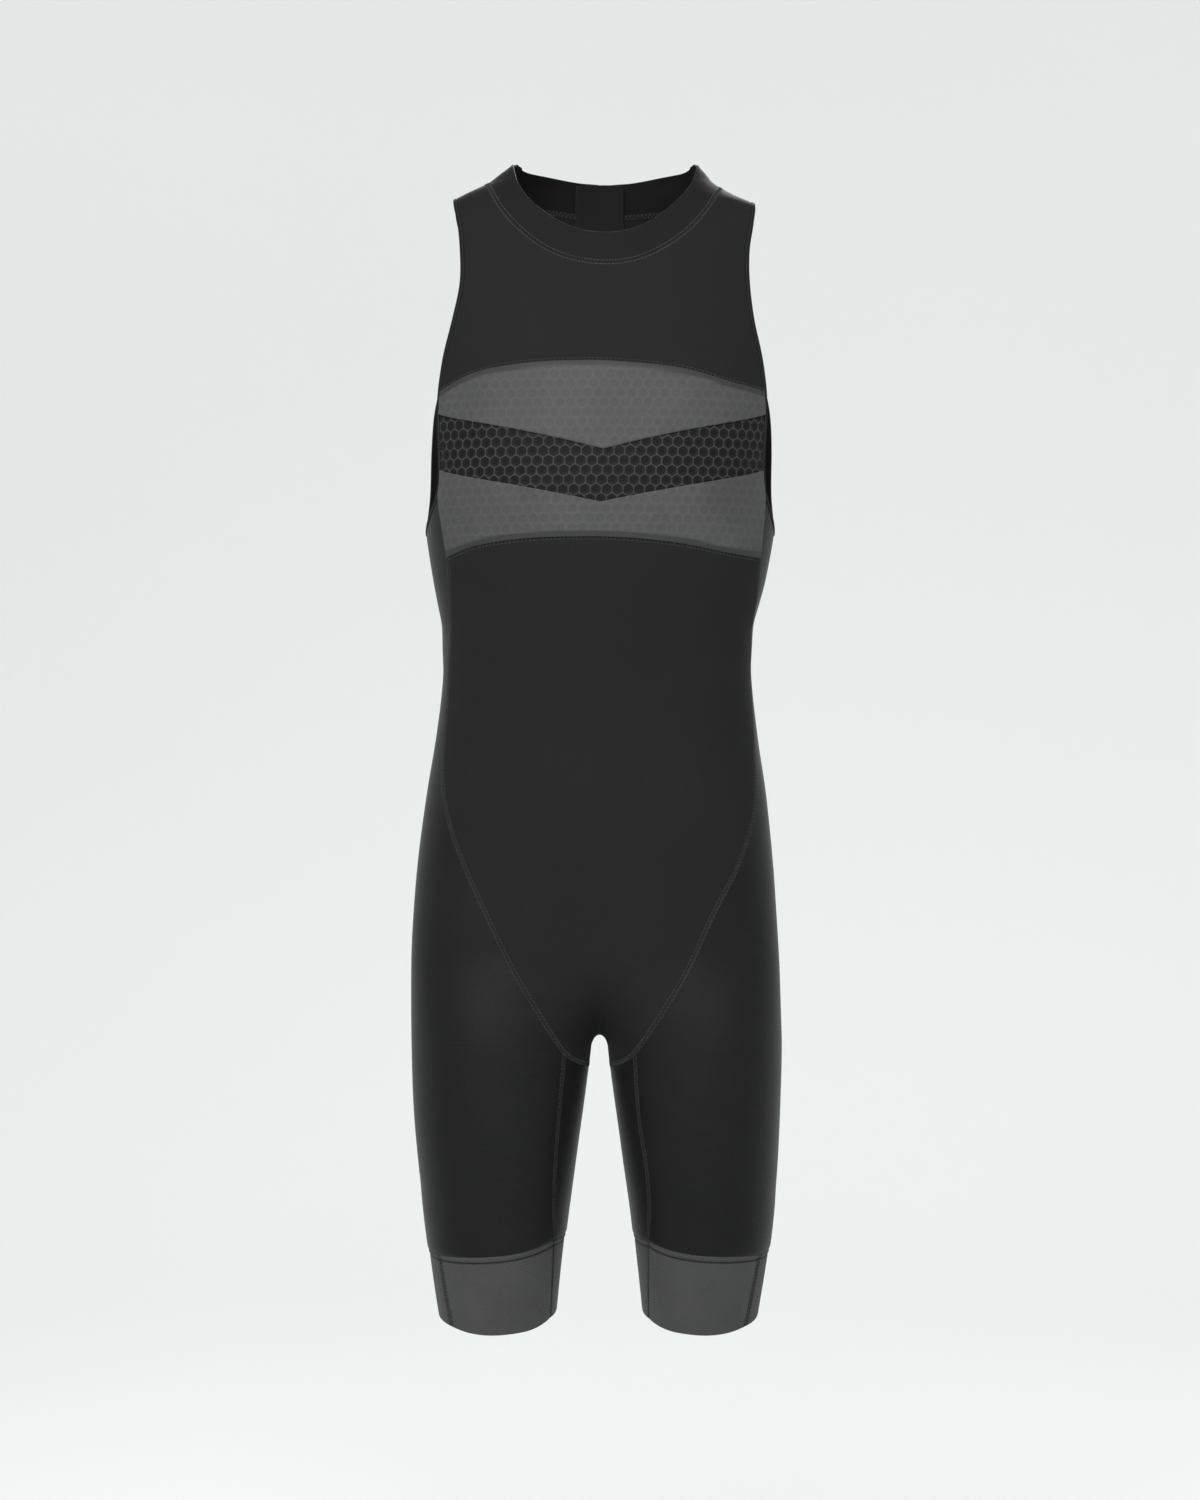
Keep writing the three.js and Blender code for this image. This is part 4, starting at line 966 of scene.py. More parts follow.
class Wire:
    """A shader value that can stand in a sum, so that a pattern reads as a formula."""

    def __init__(self, finish, socket):
        self.finish = finish
        self.socket = socket

    def maths(self, operation, *values):
        return self.finish.node("ShaderNodeMath", {"operation": operation}, dict(enumerate(values)))

    __add__, __radd__ = both_ways("ADD")
    __sub__, __rsub__ = both_ways("SUBTRACT")
    __mul__, __rmul__ = both_ways("MULTIPLY")
    __truediv__, _ = both_ways("DIVIDE")
    __lt__, _ = both_ways("LESS_THAN")
    wrap, _ = both_ways("FLOORED_MODULO")
    most, _ = both_ways("MAXIMUM")
    size, root, sine = alone("ABSOLUTE"), alone("SQRT"), alone("SINE")

    def ease(self, low, high):
        """0 at low, 1 at high and smooth between."""
        inputs = {"Value": self, "From Min": low, "From Max": high}
        return self.finish.node("ShaderNodeMapRange", {"interpolation_type": "SMOOTHSTEP"}, inputs)


class Finish:
    """A material on one Principled shader."""

    def __init__(self, name, **constants):
        self.material = bpy.data.materials.new(name)
        self.material.use_nodes = True
        self.nodes = self.material.node_tree.nodes
        self.links = self.material.node_tree.links
        self.shader = self.nodes["Principled BSDF"]
        for socket, value in constants.items():
            self.shader.inputs[socket.replace("_", " ")].default_value = value

    def node(self, kind, settings=None, inputs=None, output=0):
        made = self.nodes.new(kind)
        for key, value in (settings or {}).items():
            setattr(made, key, value)
        for key, value in (inputs or {}).items():
            if isinstance(value, Wire):
                self.links.new(value.socket, made.inputs[key])
            else:
                made.inputs[key].default_value = value
        return Wire(self, made.outputs[output])

    def cloth_place(self):
        """Lengths across and along the cloth in millimetres."""
        uv = self.node("ShaderNodeUVMap", {"uv_map": "cloth"})
        split = self.nodes.new("ShaderNodeSeparateXYZ")
        self.links.new(uv.socket, split.inputs[0])
        return Wire(self, split.outputs[0]) * 100, Wire(self, split.outputs[1]) * 100

    def noise(self, scale, detail=2.0, rough=0.5):
        """Noise in the object's own space, with about scale patches to the metre."""
        place = self.node("ShaderNodeTexCoord", output=3)
        inputs = {"Vector": place, "Scale": scale, "Detail": detail, "Roughness": rough}
        return self.node("ShaderNodeTexNoise", {}, inputs)

    def streaks(self, u, v):
        """Noise drawn out across the cloth."""
        place = self.node("ShaderNodeCombineXYZ", {}, {"X": u * 0.02, "Y": v * 0.6})
        return self.node("ShaderNodeTexNoise", {}, {"Vector": place, "Scale": 1.0, "Detail": 3.0})

    # Painted shade beside seams, 0 to 1, as the mesh holds it.
    def mark(self):
        return self.node("ShaderNodeAttribute", {"attribute_name": "mark"}, output=2)

    def blend(self, share, first, second):
        """From the first colour to the second as share goes from 0 to 1."""
        made = self.nodes.new("ShaderNodeMix")
        made.data_type = "RGBA"
        self.links.new(share.socket, made.inputs[0])
        for value, socket in ((first, made.inputs[6]), (second, made.inputs[7])):
            if isinstance(value, Wire):
                self.links.new(value.socket, socket)
            else:
                socket.default_value = (*value, 1)
        return Wire(self, made.outputs[2])

    def set(self, socket, value):
        self.links.new(value.socket, self.shader.inputs[socket])

    def dress(self, colour, roughness, height, distance):
        """Wires up the shader: height is 0 to 1 over distance in metres."""
        bump = self.node("ShaderNodeBump", {}, {"Height": height, "Distance": distance, "Strength": 1.0})
        for socket, value in (("Base Color", colour), ("Roughness", roughness), ("Normal", bump)):
            self.set(socket, value)
        return self.material


def grey(level, warm=0.0):
    return (level * (1 + warm), level, level * (1 - warm * 0.6))


ROUND_CELL = 0.93


def hex_place(u, v, pitch):
    """How far a point is from the middle of its honeycomb cell, 1 at the cell's edge."""
    tall = pitch * math.sqrt(3)
    u1 = u.wrap(pitch) - pitch / 2
    v1 = v.wrap(tall) - tall / 2
    u2 = (u - pitch / 2).wrap(pitch) - pitch / 2
    v2 = (v - tall / 2).wrap(tall) - tall / 2
    first = (u1 * u1 + v1 * v1) < (u2 * u2 + v2 * v2)
    across = (u2 + (u1 - u2) * first).size()
    along = (v2 + (v1 - v2) * first).size()
    straight = across.most(across * 0.5 + along * (math.sqrt(3) / 2))
    round_share = (across * across + along * along).root() * ROUND_CELL
    return straight.most(round_share) / (pitch / 2)


def knit_finish(name, dark, light, roughness, rib, sheen, gloss=0.05, streak=0.2):
    """A smooth stretch knit: fine ribs along it, faint streaks across it and soft unevenness."""
    finish = Finish(name, Sheen_Weight=sheen, Sheen_Roughness=0.45, Specular_IOR_Level=gloss)
    u, v = finish.cloth_place()
    cloud = finish.noise(9.0, 3.0)
    grain = finish.noise(900.0, 2.0, 0.6)
    ribs = (u * (2 * math.pi / rib)).sine() * 0.5 + 0.5
    loops = (v * (2 * math.pi / (rib * 0.8)) + ribs * 2.2).sine() * 0.5 + 0.5
    streaks = finish.streaks(u, v)
    tone = cloud * 0.5 + grain * 0.3 + ribs * loops * 0.25 + (streaks - 0.5) * streak
    colour = finish.blend(tone.ease(0.3, 0.85), grey(dark), grey(light))
    roughness = roughness + (cloud - 0.5) * 0.16 + (grain - 0.5) * 0.1
    height = ribs * 0.5 + loops * 0.25 + grain * 0.45 + streaks * streak
    return finish.dress(colour, roughness, height, 0.00012)


HEX_PITCH = 8.9


def honeycomb_finish():
    """Dark cells in a thin, lighter net."""
    finish = Finish("honeycomb_knit", Sheen_Weight=0.02, Sheen_Roughness=0.5, Specular_IOR_Level=0.06)
    u, v = finish.cloth_place()
    cell = hex_place(u, v, HEX_PITCH)
    cloud = finish.noise(14.0, 2.0)
    grain = finish.noise(1100.0, 2.0, 0.6)
    net = cell.ease(0.84, 0.95)
    middle = 1 - cell.ease(0.1, 0.62)
    dark = finish.blend(middle * 0.8 + grain * 0.2, grey(0.005), grey(0.0028))
    light = finish.blend(cloud, grey(0.017), grey(0.029))
    threads = ((u + v) * 5.2).sine() * ((u - v) * 5.2).sine() * 0.5 + 0.5
    colour = finish.blend(net, dark, light)
    roughness = 0.62 + net * 0.16 + (grain - 0.5) * 0.1
    return finish.dress(colour, roughness, threads * 0.4 + grain * 0.6, 0.0001)


def overlay_finish():
    """A thin grey film of knit through which the net below shows faintly, painted darker along its sewn edge
    as shade.
    """
    finish = Finish("overlay_knit", Sheen_Weight=0.04, Sheen_Roughness=0.5, Specular_IOR_Level=0.15)
    u, v = finish.cloth_place()
    cell = hex_place(u, v, HEX_PITCH)
    cloud = finish.noise(16.0, 3.0, 0.6)
    grain = finish.noise(700.0, 3.0, 0.6)
    net = cell.ease(0.6, 0.95)
    tone = cloud * 0.7 + grain * 0.35 + net * 0.14
    film = finish.blend(tone.ease(0.3, 0.95), grey(0.026), grey(0.042))
    # Painted shade: the pressed band beside the sewn edge is painted darker.
    edge = finish.mark()
    colour = finish.blend(edge * (0.75 + grain * 0.4), film, grey(0.0155))
    roughness = 0.66 + (cloud - 0.5) * 0.2
    return finish.dress(colour, roughness, net * 0.4 + grain * 0.5, 0.00012)


def cuff_finish(name, dark, light):
    """A fine slanting mesh; the groove below the light band at its turned top edge is painted darker as
    shade.
    """
    finish = Finish(name, Sheen_Weight=0.04, Sheen_Roughness=0.5, Specular_IOR_Level=0.14)
    u, v = finish.cloth_place()
    grain = finish.noise(800.0, 2.0, 0.6)
    cloud = finish.noise(26.0, 3.0, 0.6)
    slant = ((v - u * 0.62) * (2 * math.pi / 2.6) + cloud * 5 + grain * 1.2).sine() * 0.5 + 0.5
    cross = ((u * 1.5 + v) * (2 * math.pi / 1.9) + cloud * 3).sine() * 0.5 + 0.5
    tone = slant * 0.3 + cross * 0.16 + cloud * 0.5 + grain * 0.22
    cloth = finish.blend(tone.ease(0.2, 0.95), grey(dark), grey(light))
    # Painted shade in the groove below the cuff's turned top edge.
    colour = finish.blend(finish.mark(), cloth, grey(0.005))
    roughness = 0.68 + (cloud - 0.5) * 0.2
    return finish.dress(colour, roughness, slant * 0.7 + cross * 0.2 + grain * 0.3, 0.00016)


def web_finish(name, dark, light, pitch):
    """A close woven tape: short floats in a herringbone."""
    finish = Finish(name, Sheen_Weight=0.05, Sheen_Roughness=0.5, Specular_IOR_Level=0.14)
    u, v = finish.cloth_place()
    grain = finish.noise(900.0, 2.0, 0.6)
    bone = ((v + (u.wrap(6.0) - 3.0).size() * 1.2) * (2 * math.pi / pitch)).sine() * 0.5 + 0.5
    tone = bone * 0.6 + grain * 0.4
    colour = finish.blend(tone.ease(0.15, 0.9), grey(dark), grey(light))
    roughness = 0.8 + (grain - 0.5) * 0.15
    return finish.dress(colour, roughness, tone, 0.00015)


def thread_finish(name, dark, light):
    finish = Finish(name, Sheen_Weight=0.05, Sheen_Roughness=0.4, Specular_IOR_Level=0.2)
    cloud = finish.noise(60.0, 2.0)
    twist = finish.noise(2600.0, 1.0)
    colour = finish.blend(cloud * 0.6 + twist * 0.4, grey(dark), grey(light))
    roughness = 0.6 + twist * 0.2
    return finish.dress(colour, roughness, twist, 0.00008)


def coil_finish():
    finish = Finish("zip_coil", Specular_IOR_Level=0.5)
    cloud = finish.noise(120.0, 2.0)
    scuff = finish.noise(1500.0, 2.0)
    colour = finish.blend(cloud * 0.5 + scuff * 0.5, grey(0.008), grey(0.02))
    roughness = 0.34 + scuff * 0.2
    return finish.dress(colour, roughness, scuff, 0.00003)


def metal_finish():
    """Dark plated metal, rubbed lighter in places."""
    finish = Finish("zip_metal", Metallic=1.0, Specular_IOR_Level=0.5)
    cloud = finish.noise(260.0, 3.0)
    scuff = finish.noise(2400.0, 3.0, 0.7)
    rubbed = (cloud * 0.6 + scuff * 0.4).ease(0.5, 0.75)
    colour = finish.blend(rubbed, grey(0.045), grey(0.12))
    roughness = 0.32 + scuff * 0.22 - rubbed * 0.06
    return finish.dress(colour, roughness, scuff, 0.00002)


BODY_KNIT = knit_finish("body_knit", 0.007, 0.0102, 0.8, 1.15, 0.015)
SIDE_KNIT = knit_finish("side_knit", 0.0042, 0.0064, 0.44, 1.5, 0.015, 0.09, 0.5)
EDGE_KNIT = knit_finish("edge_knit", 0.0058, 0.0084, 0.8, 0.9, 0.015)
HONEYCOMB = honeycomb_finish()
OVERLAY = overlay_finish()
CUFF_FRONT = cuff_finish("cuff_mesh", 0.021, 0.037)
CUFF_BACK = cuff_finish("cuff_mesh_back", 0.0165, 0.029)
ZIP_WEB = web_finish("zip_web", 0.006, 0.012, 1.3)
GUARD_KNIT = knit_finish("guard_knit", 0.007, 0.0105, 0.8, 1.1, 0.08)
THREAD = thread_finish("seam_thread", 0.013, 0.023)
PALE_THREAD = thread_finish("cover_thread", 0.024, 0.04)
DARK_THREAD = thread_finish("dark_thread", 0.0035, 0.0075)
COIL = coil_finish()
METAL = metal_finish()
BODY = "suit"
TAB_BODY = "pull_tab"


# ---- front of the trunk
wear(shell("front_yoke_cloth", yoke_grids()), BODY_KNIT, "body_knit", "front_yoke")

VEE_CELL = 18
band_rows = [steps(3, True, False, 7), steps(2, False, False, 26), steps(4, False, True, 7)]
chest_grid = below(*[crown_grid(part, VEE_CELL, band_rows[part]) for part in range(3)])


def level_lengths(grid):
    """Length across and height, so that the honeycomb stays level across the chest."""
    return np.stack([grid_lengths(grid)[..., 0], grid[..., 2]], axis=2)


chest_lengths = level_lengths(chest_grid)


def hex_share(across, along, pitch):
    """The same honeycomb as the finish's, worked out for the mesh."""
    tall = pitch * math.sqrt(3)
    options = []
    for shift in (0, 0.5):
        du = np.mod(across - shift * pitch, pitch) - pitch / 2
        dv = np.mod(along - shift * tall, tall) - tall / 2
        options.append((np.abs(du), np.abs(dv)))
    nearer = options[0][0] ** 2 + options[0][1] ** 2 < options[1][0] ** 2 + options[1][1] ** 2
    du = np.where(nearer, options[0][0], options[1][0])
    dv = np.where(nearer, options[0][1], options[1][1])
    straight = np.maximum(du, du * 0.5 + dv * math.sqrt(3) / 2)
    return np.maximum(straight, np.hypot(du, dv) * ROUND_CELL) / (pitch / 2)


def eased(value, low, high):
    t = np.clip((value - low) / (high - low), 0, 1)
    return t * t * (3 - 2 * t)


def hump(value, middle, width):
    """1 at the middle, falling softly to 0 on both sides."""
    return np.exp(-((value - middle) / width) ** 2)


CELL_DEPTH = 0.42
cell = hex_share(chest_lengths[..., 0], chest_lengths[..., 1], HEX_PITCH)
vee_rows = np.zeros(len(chest_grid))
first_row = len(band_rows[0]) - 1
last_row = first_row + len(band_rows[1]) - 1
vee_rows[first_row - 2:last_row + 3] = 1
chest_raised = (eased(cell, 0.5, 0.97) - 0.75) * CELL_DEPTH * vee_rows[:, None]
chest = shell("chest_panel_cloth", chest_grid, raised=[chest_raised], lengths=chest_lengths.reshape(-1, 2))
wear(chest, HONEYCOMB, "honeycomb_knit", "chest_panel")

OVERLAY_CELL = 9
EDGE_BAND = 5.0
BAND_PRESS = 0.25
OVERLAY_RELIEF = 0.16
for word, part, row_cells, sewn_row in (
    ("upper", 0, steps(3, True, True, 8), 0),
    ("lower", 2, steps(4, True, True, 8), -1),
):
    grid = crown_grid(part, OVERLAY_CELL, row_cells)
    lengths = level_lengths(grid)
    hexes = hex_share(lengths[..., 0], lengths[..., 1], HEX_PITCH)
    sewn = np.linalg.norm(grid - grid[sewn_row][None], axis=2)
    # The band beside the sewn edge is pressed down and also painted darker as shade.
    pressed_band_shade = 1 - eased(sewn, EDGE_BAND - 0.8, EDGE_BAND + 0.4)
    proud = (eased(hexes, 0.5, 0.95) - 0.7) * OVERLAY_RELIEF * (1 - pressed_band_shade) - BAND_PRESS * pressed_band_shade
    overlay = shell(
        f"chest_overlay_{word}_cloth", grid, OVERLAY_LIFT, OVERLAY_WALL, raised=[proud],
        lengths=lengths.reshape(-1, 2), dips=(0.45, 0.12, 0.0), seam_shades=[pressed_band_shade],
    )
    wear(overlay, OVERLAY, "overlay_knit", f"chest_overlay_{word}", rests_on=["chest_panel_cloth"])

wear(shell("front_body_cloth", body_grid()), BODY_KNIT, "body_knit", "front_body")

# ---- sides, back, legs and cuffs
turned_top = [0, 0.6, 1.3, 2.4, 3.6, 4.4, 4.9, 5.4, 5.9, 6.6, 7.6]
down_cuff = np.array(turned_top + list(np.linspace(10, 60, 21)) + [62.2, 63, 63.5])
CUFF_ROWS = down_cuff / down_cuff[-1]
ridge = 0.45 * (eased(down_cuff, 0.2, 1.4) - eased(down_cuff, 3.6, 4.9))
groove = -0.5 * (eased(down_cuff, 4.2, 5.0) - eased(down_cuff, 5.6, 6.8))
cuff_raised = (ridge + groove)[:, None]
# Painted shade: the groove below the ridge is painted darker.
cuff_groove_shade = (eased(down_cuff, 4.2, 4.8) - eased(down_cuff, 5.7, 6.4))[:, None]
words = {-1: "right", 1: "left"}
for side, word in words.items():
    seams = SEAMS[side]
    wear(shell(f"side_leg_{word}_cloth", leg_grid(side)), SIDE_KNIT, "side_knit", f"side_leg_{word}")
    wear(shell(f"back_{word}_cloth", back_grids(side)), BODY_KNIT, "body_knit", f"back_{word}")
    wear(shell(f"inner_thigh_{word}_cloth", thigh_grid(side)), SIDE_KNIT, "side_knit", f"inner_thigh_{word}")
    fronts = between(seams["cuff_top"][0], seams["hem"][0], CUFF_ROWS)
    backs = between(joined(*seams["cuff_top"][1:]), joined(*seams["hem"][1:]), CUFF_ROWS)
    for place, grid, finish in (("front", fronts, CUFF_FRONT), ("back", backs, CUFF_BACK)):
        cuff = shell(
            f"cuff_{place}_{word}_cloth", grid, -CUFF_INSET, CUFF_WALL, raised=[cuff_raised],
            seam_shades=[cuff_groove_shade], dips=(0.35, 0.12, 0.0),
        )
        wear(cuff, finish, "cuff_mesh", f"cuff_{place}_{word}")
    binding_grid = between(looped(seams["edge"]), looped(seams["band"]), BINDING_ACROSS)
    binding = shell(
        f"armhole_binding_{word}_cloth", binding_grid, raised=[BINDING_ROLL[:, None]], gap=0.06,
        dips=(0.0, 0.0, 0.0),
    )
    wear(binding, EDGE_KNIT, "edge_knit", f"armhole_binding_{word}")

COLLAR_ROWS = np.array([0, 0.02, 0.06, 0.13, 0.22, 0.34, 0.46, 0.58, 0.7, 0.8, 0.88, 0.94, 0.975, 1])
collar_grid = between(joined(*collar_top), joined(*neck), COLLAR_ROWS)
collar_raised = 0.35 * hump(COLLAR_ROWS, 0.05, 0.05) - 0.22 * hump(COLLAR_ROWS, 0.845, 0.02)
collar = shell(
    "collar_cloth", collar_grid, wall=COLLAR_WALL, raised=[collar_raised[:, None]], dips=(0.75, 0.2, 0.0)
)
wear(collar, EDGE_KNIT, "edge_knit", "collar")

# ---- zip: tape, guard behind it, and the coil's ground
TAPE_TOP = -2.2
TAPE_WALL = 0.8
TAPE_HALF_WIDTH = 12
TAPE_COLUMNS = 16
TAPE_WELTS = (2, 14)
GUARD_TOP = TAPE_TOP - 1.4
GUARD_WALL = 1.0
GUARD_HALF_WIDTH = 21
GUARD_COLUMNS = 24
GUARD_SHIFT = -5
STRIP_DIPS = (0.3, 0.05, 0)
zip_stations = joined(zip_line[0], zip_line[1], zip_line[2])
tape_grid = strip_grid(zip_stations, TAPE_HALF_WIDTH, TAPE_COLUMNS)
tape_shape = np.zeros(TAPE_COLUMNS + 1)
tape_shape[list(TAPE_WELTS)] = 0.16
tape_shape[TAPE_COLUMNS // 2] = -0.3
tape = shell(
    "zip_tape_cloth", tape_grid, TAPE_TOP, TAPE_WALL, gap=0, raised=[tape_shape[None, :]], dips=STRIP_DIPS
)
wear(tape, ZIP_WEB, "zip_textile", "zip_tape")
guard_stations = np.vstack([zip_stations[:1] + [0, -0.4, 1.2], zip_stations])
guard_grid = strip_grid(guard_stations, GUARD_HALF_WIDTH, GUARD_COLUMNS, GUARD_SHIFT)
guard_across = np.linspace(-GUARD_HALF_WIDTH, GUARD_HALF_WIDTH, GUARD_COLUMNS + 1)
guard_fold = 0.7 * hump(guard_across, -14, 2) - 0.9 * hump(guard_across, -17.5, 1.6)
guard_fold -= 0.6 * hump(guard_across, 20, 1.8)
guard = shell(
    "zip_guard_cloth", guard_grid, GUARD_TOP, GUARD_WALL, gap=0, folds=guard_fold[None, :], dips=STRIP_DIPS
)
wear(guard, GUARD_KNIT, "body_knit", "zip_guard")


# ---- hard pieces: modelled with the usual tools in millimetres, then put in their place
def start_fresh():
    if bpy.context.object and bpy.context.object.mode != "OBJECT":
        bpy.ops.object.mode_set(mode="OBJECT")
    bpy.ops.object.select_all(action="DESELECT")


def choose(piece, test, kind="vert"):
    """Selects, in edit mode, the vertices or faces whose middle passes the test."""
    bpy.ops.object.mode_set(mode="OBJECT")
    mesh = piece.data
    for part in (mesh.vertices, mesh.edges, mesh.polygons):
        part.foreach_set("select", np.zeros(len(part), bool))
    if kind == "vert":
        for vertex in mesh.vertices:
            vertex.select = bool(test(vertex.co))
    else:
        for face in mesh.polygons:
            face.select = bool(test(face.center, face.normal))
    bpy.ops.object.mode_set(mode="EDIT")
    bpy.ops.mesh.select_mode(type="VERT" if kind == "vert" else "FACE")


def edit_all():
    bpy.ops.object.mode_set(mode="EDIT")
    bpy.ops.mesh.select_all(action="SELECT")


def fixed(scale=(1, 1, 1)):
    """The piece that was just added, with its turn and this scale made part of its shape."""
    piece = bpy.context.object
    piece.scale = scale
    bpy.ops.object.transform_apply(location=True, rotation=True, scale=True)
    return piece


def rod(sides, radius, length):
    """A round bar along X."""
    start_fresh()
    turned = (0, math.pi / 2, 0)
    bpy.ops.mesh.primitive_cylinder_add(vertices=sides, radius=radius, depth=length, rotation=turned)
    return fixed()


def block(size, place):
    start_fresh()
    bpy.ops.mesh.primitive_cube_add(size=1, location=place)
    return fixed(size)


def push(move, size):
    """Draws the chosen face out and makes its end smaller or larger."""
    bpy.ops.mesh.extrude_region_move(TRANSFORM_OT_translate={"value": move})
    bpy.ops.transform.resize(value=size)


def squeeze(piece, share, test):
    choose(piece, test)
    bpy.ops.transform.resize(value=(share, 1, 1))


def apply_modifier(piece, kind, **settings):
    modifier = piece.modifiers.new(kind.lower(), kind)
    for key, value in settings.items():
        setattr(modifier, key, value)
    bpy.context.view_layer.objects.active = piece
    bpy.ops.object.modifier_apply(modifier=modifier.name)


def bevel(piece, width, angle):
    bpy.ops.object.mode_set(mode="OBJECT")
    limit = math.radians(angle)
    apply_modifier(piece, "BEVEL", width=width, segments=2, limit_method="ANGLE", angle_limit=limit)


def finish_shape(piece, angle=40):
    if bpy.context.object.mode != "OBJECT":
        bpy.ops.object.mode_set(mode="OBJECT")
    edit_all()
    bpy.ops.mesh.remove_doubles(threshold=0.0005)
    bpy.ops.mesh.normals_make_consistent(inside=False)
    bpy.ops.object.mode_set(mode="OBJECT")
    bpy.ops.object.transform_apply(location=True, rotation=True, scale=True)
    bpy.ops.object.shade_smooth_by_angle(angle=math.radians(angle))


def stitch_shape(length, radius, sides=6):
    """One stitch of thread lying along X: its ends dive into the cloth."""
    piece = rod(sides, radius, length * 0.5)
    for end in (-1, 1):
        choose(piece, lambda middle, normal: normal.x * end > 0.9, "face")
        push((end * length * 0.2, 0, -radius * 0.6), (1, 0.75, 0.75))
        push((end * length * 0.08, 0, -radius * 1.4), (1, 0.4, 0.4))
    finish_shape(piece, 60)
    return taken(piece)


def taken(piece):
    """The points and triangles of a modelled piece, which is then removed."""
    mesh = piece.data
    mesh.calc_loop_triangles()
    points = np.zeros(len(mesh.vertices) * 3)
    mesh.vertices.foreach_get("co", points)
    triangles = np.zeros(len(mesh.loop_triangles) * 3, int)
    mesh.loop_triangles.foreach_get("vertices", triangles)
    bpy.data.objects.remove(piece)
    return points.reshape(-1, 3), triangles.reshape(-1, 3)


def along_line(line, pitch, shift=0.0, margin=0.0):
    """Even places on a seam: their points, the way along, and the way out of the cloth."""
    if shift:
        tangent = unit(np.gradient(line, axis=0))
        side = np.cross(unit(form_slope(line)), tangent)
        line = onto_form(line + side * shift, 4)
    total = run_length(line)[-1]
    count = max(int((total - 2 * margin) / pitch), 2)
    places = evenly(line, count * 4 + 1)
    share = np.linspace(margin / total, 1 - margin / total, count)
    at = share * count * 4
    low = np.minimum(at.astype(int), count * 4 - 1)
    part = (at - low)[:, None]
    points = onto_form(places[low] * (1 - part) + places[low + 1] * part, 3)
    normal = unit(form_slope(points))
    tangent = unit(np.gradient(points, axis=0))
    tangent = unit(tangent - normal * (tangent * normal).sum(1)[:, None])
    return points, tangent, normal


def copies(shape, points, tangent, normal, lift=0.0, turn=0.0, face=1):
    """The shape once for each place, in one set of points and triangles.

    turn swings every other one, and face is -1 on the inside of the cloth.
    """
    shape_points, shape_triangles = shape
    side = np.cross(normal, tangent)
    swing = np.where(np.arange(len(points)) % 2 == 0, turn, -turn)[:, None]
    forward = tangent * np.cos(swing) + side * np.sin(swing)
    origin = points + normal * (lift + crease_height(points))[:, None]
    basis = np.stack([forward, np.cross(normal, forward) * face, normal * face], axis=1)
    placed = origin[:, None, :] + np.einsum("mk,nkj->nmj", shape_points, basis)
    numbers = shape_triangles[None] + (np.arange(len(points)) * len(shape_points))[:, None, None]
    return placed.reshape(-1, 3), numbers.reshape(-1, 3)


def gather(name, parts, finish, body=BODY, sharp=60):
    points, triangles = [], []
    at = 0
    for placed, numbers in parts:
        points.append(placed)
        triangles.append(numbers + at)
        at += len(placed)
    piece = build_mesh(name, np.vstack(points), np.vstack(triangles), None, sharp)
    piece.data.materials.append(finish)
    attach(piece, body)
    return piece


# ---- stitching
STITCH = stitch_shape(2.1, 0.23, 5)
SHORT_STITCH = stitch_shape(2.6, 0.17, 5)
COVER_STITCH = stitch_shape(4.4, 0.2, 4)
STITCH_PITCH = 2.5
COVER_PITCH = 1.7
COVER_SHIFT = 0.01
NEEDLE_REACH = 1.7
SHORT_PITCH = 2.7
CUFF_MARGIN = 2.0


def flatlock(line, reach=2.0, lift=0.0, face=1):
    """Two rows of needle stitches with the cover thread wandering between them."""
    rows = [
        copies(STITCH, *along_line(line, STITCH_PITCH, shift, 0.8), lift + 0.04 * face, 0, face)
        for shift in (-reach, reach)
    ]
    places = along_line(line, COVER_PITCH, COVER_SHIFT, 1.0)
    return rows, [copies(COVER_STITCH, *places, lift + 0.05 * face, 1.2, face)]


def sew(name, lines, needle=PALE_THREAD, cover=THREAD, face=1):
    needles, covers = [], []
    for line, reach, lift in lines:
        first, second = flatlock(line, reach, lift, face)
        needles += first
        covers += second
    gather(f"{name}_needle_thread", needles, needle)
    gather(f"{name}_cover_thread", covers, cover)


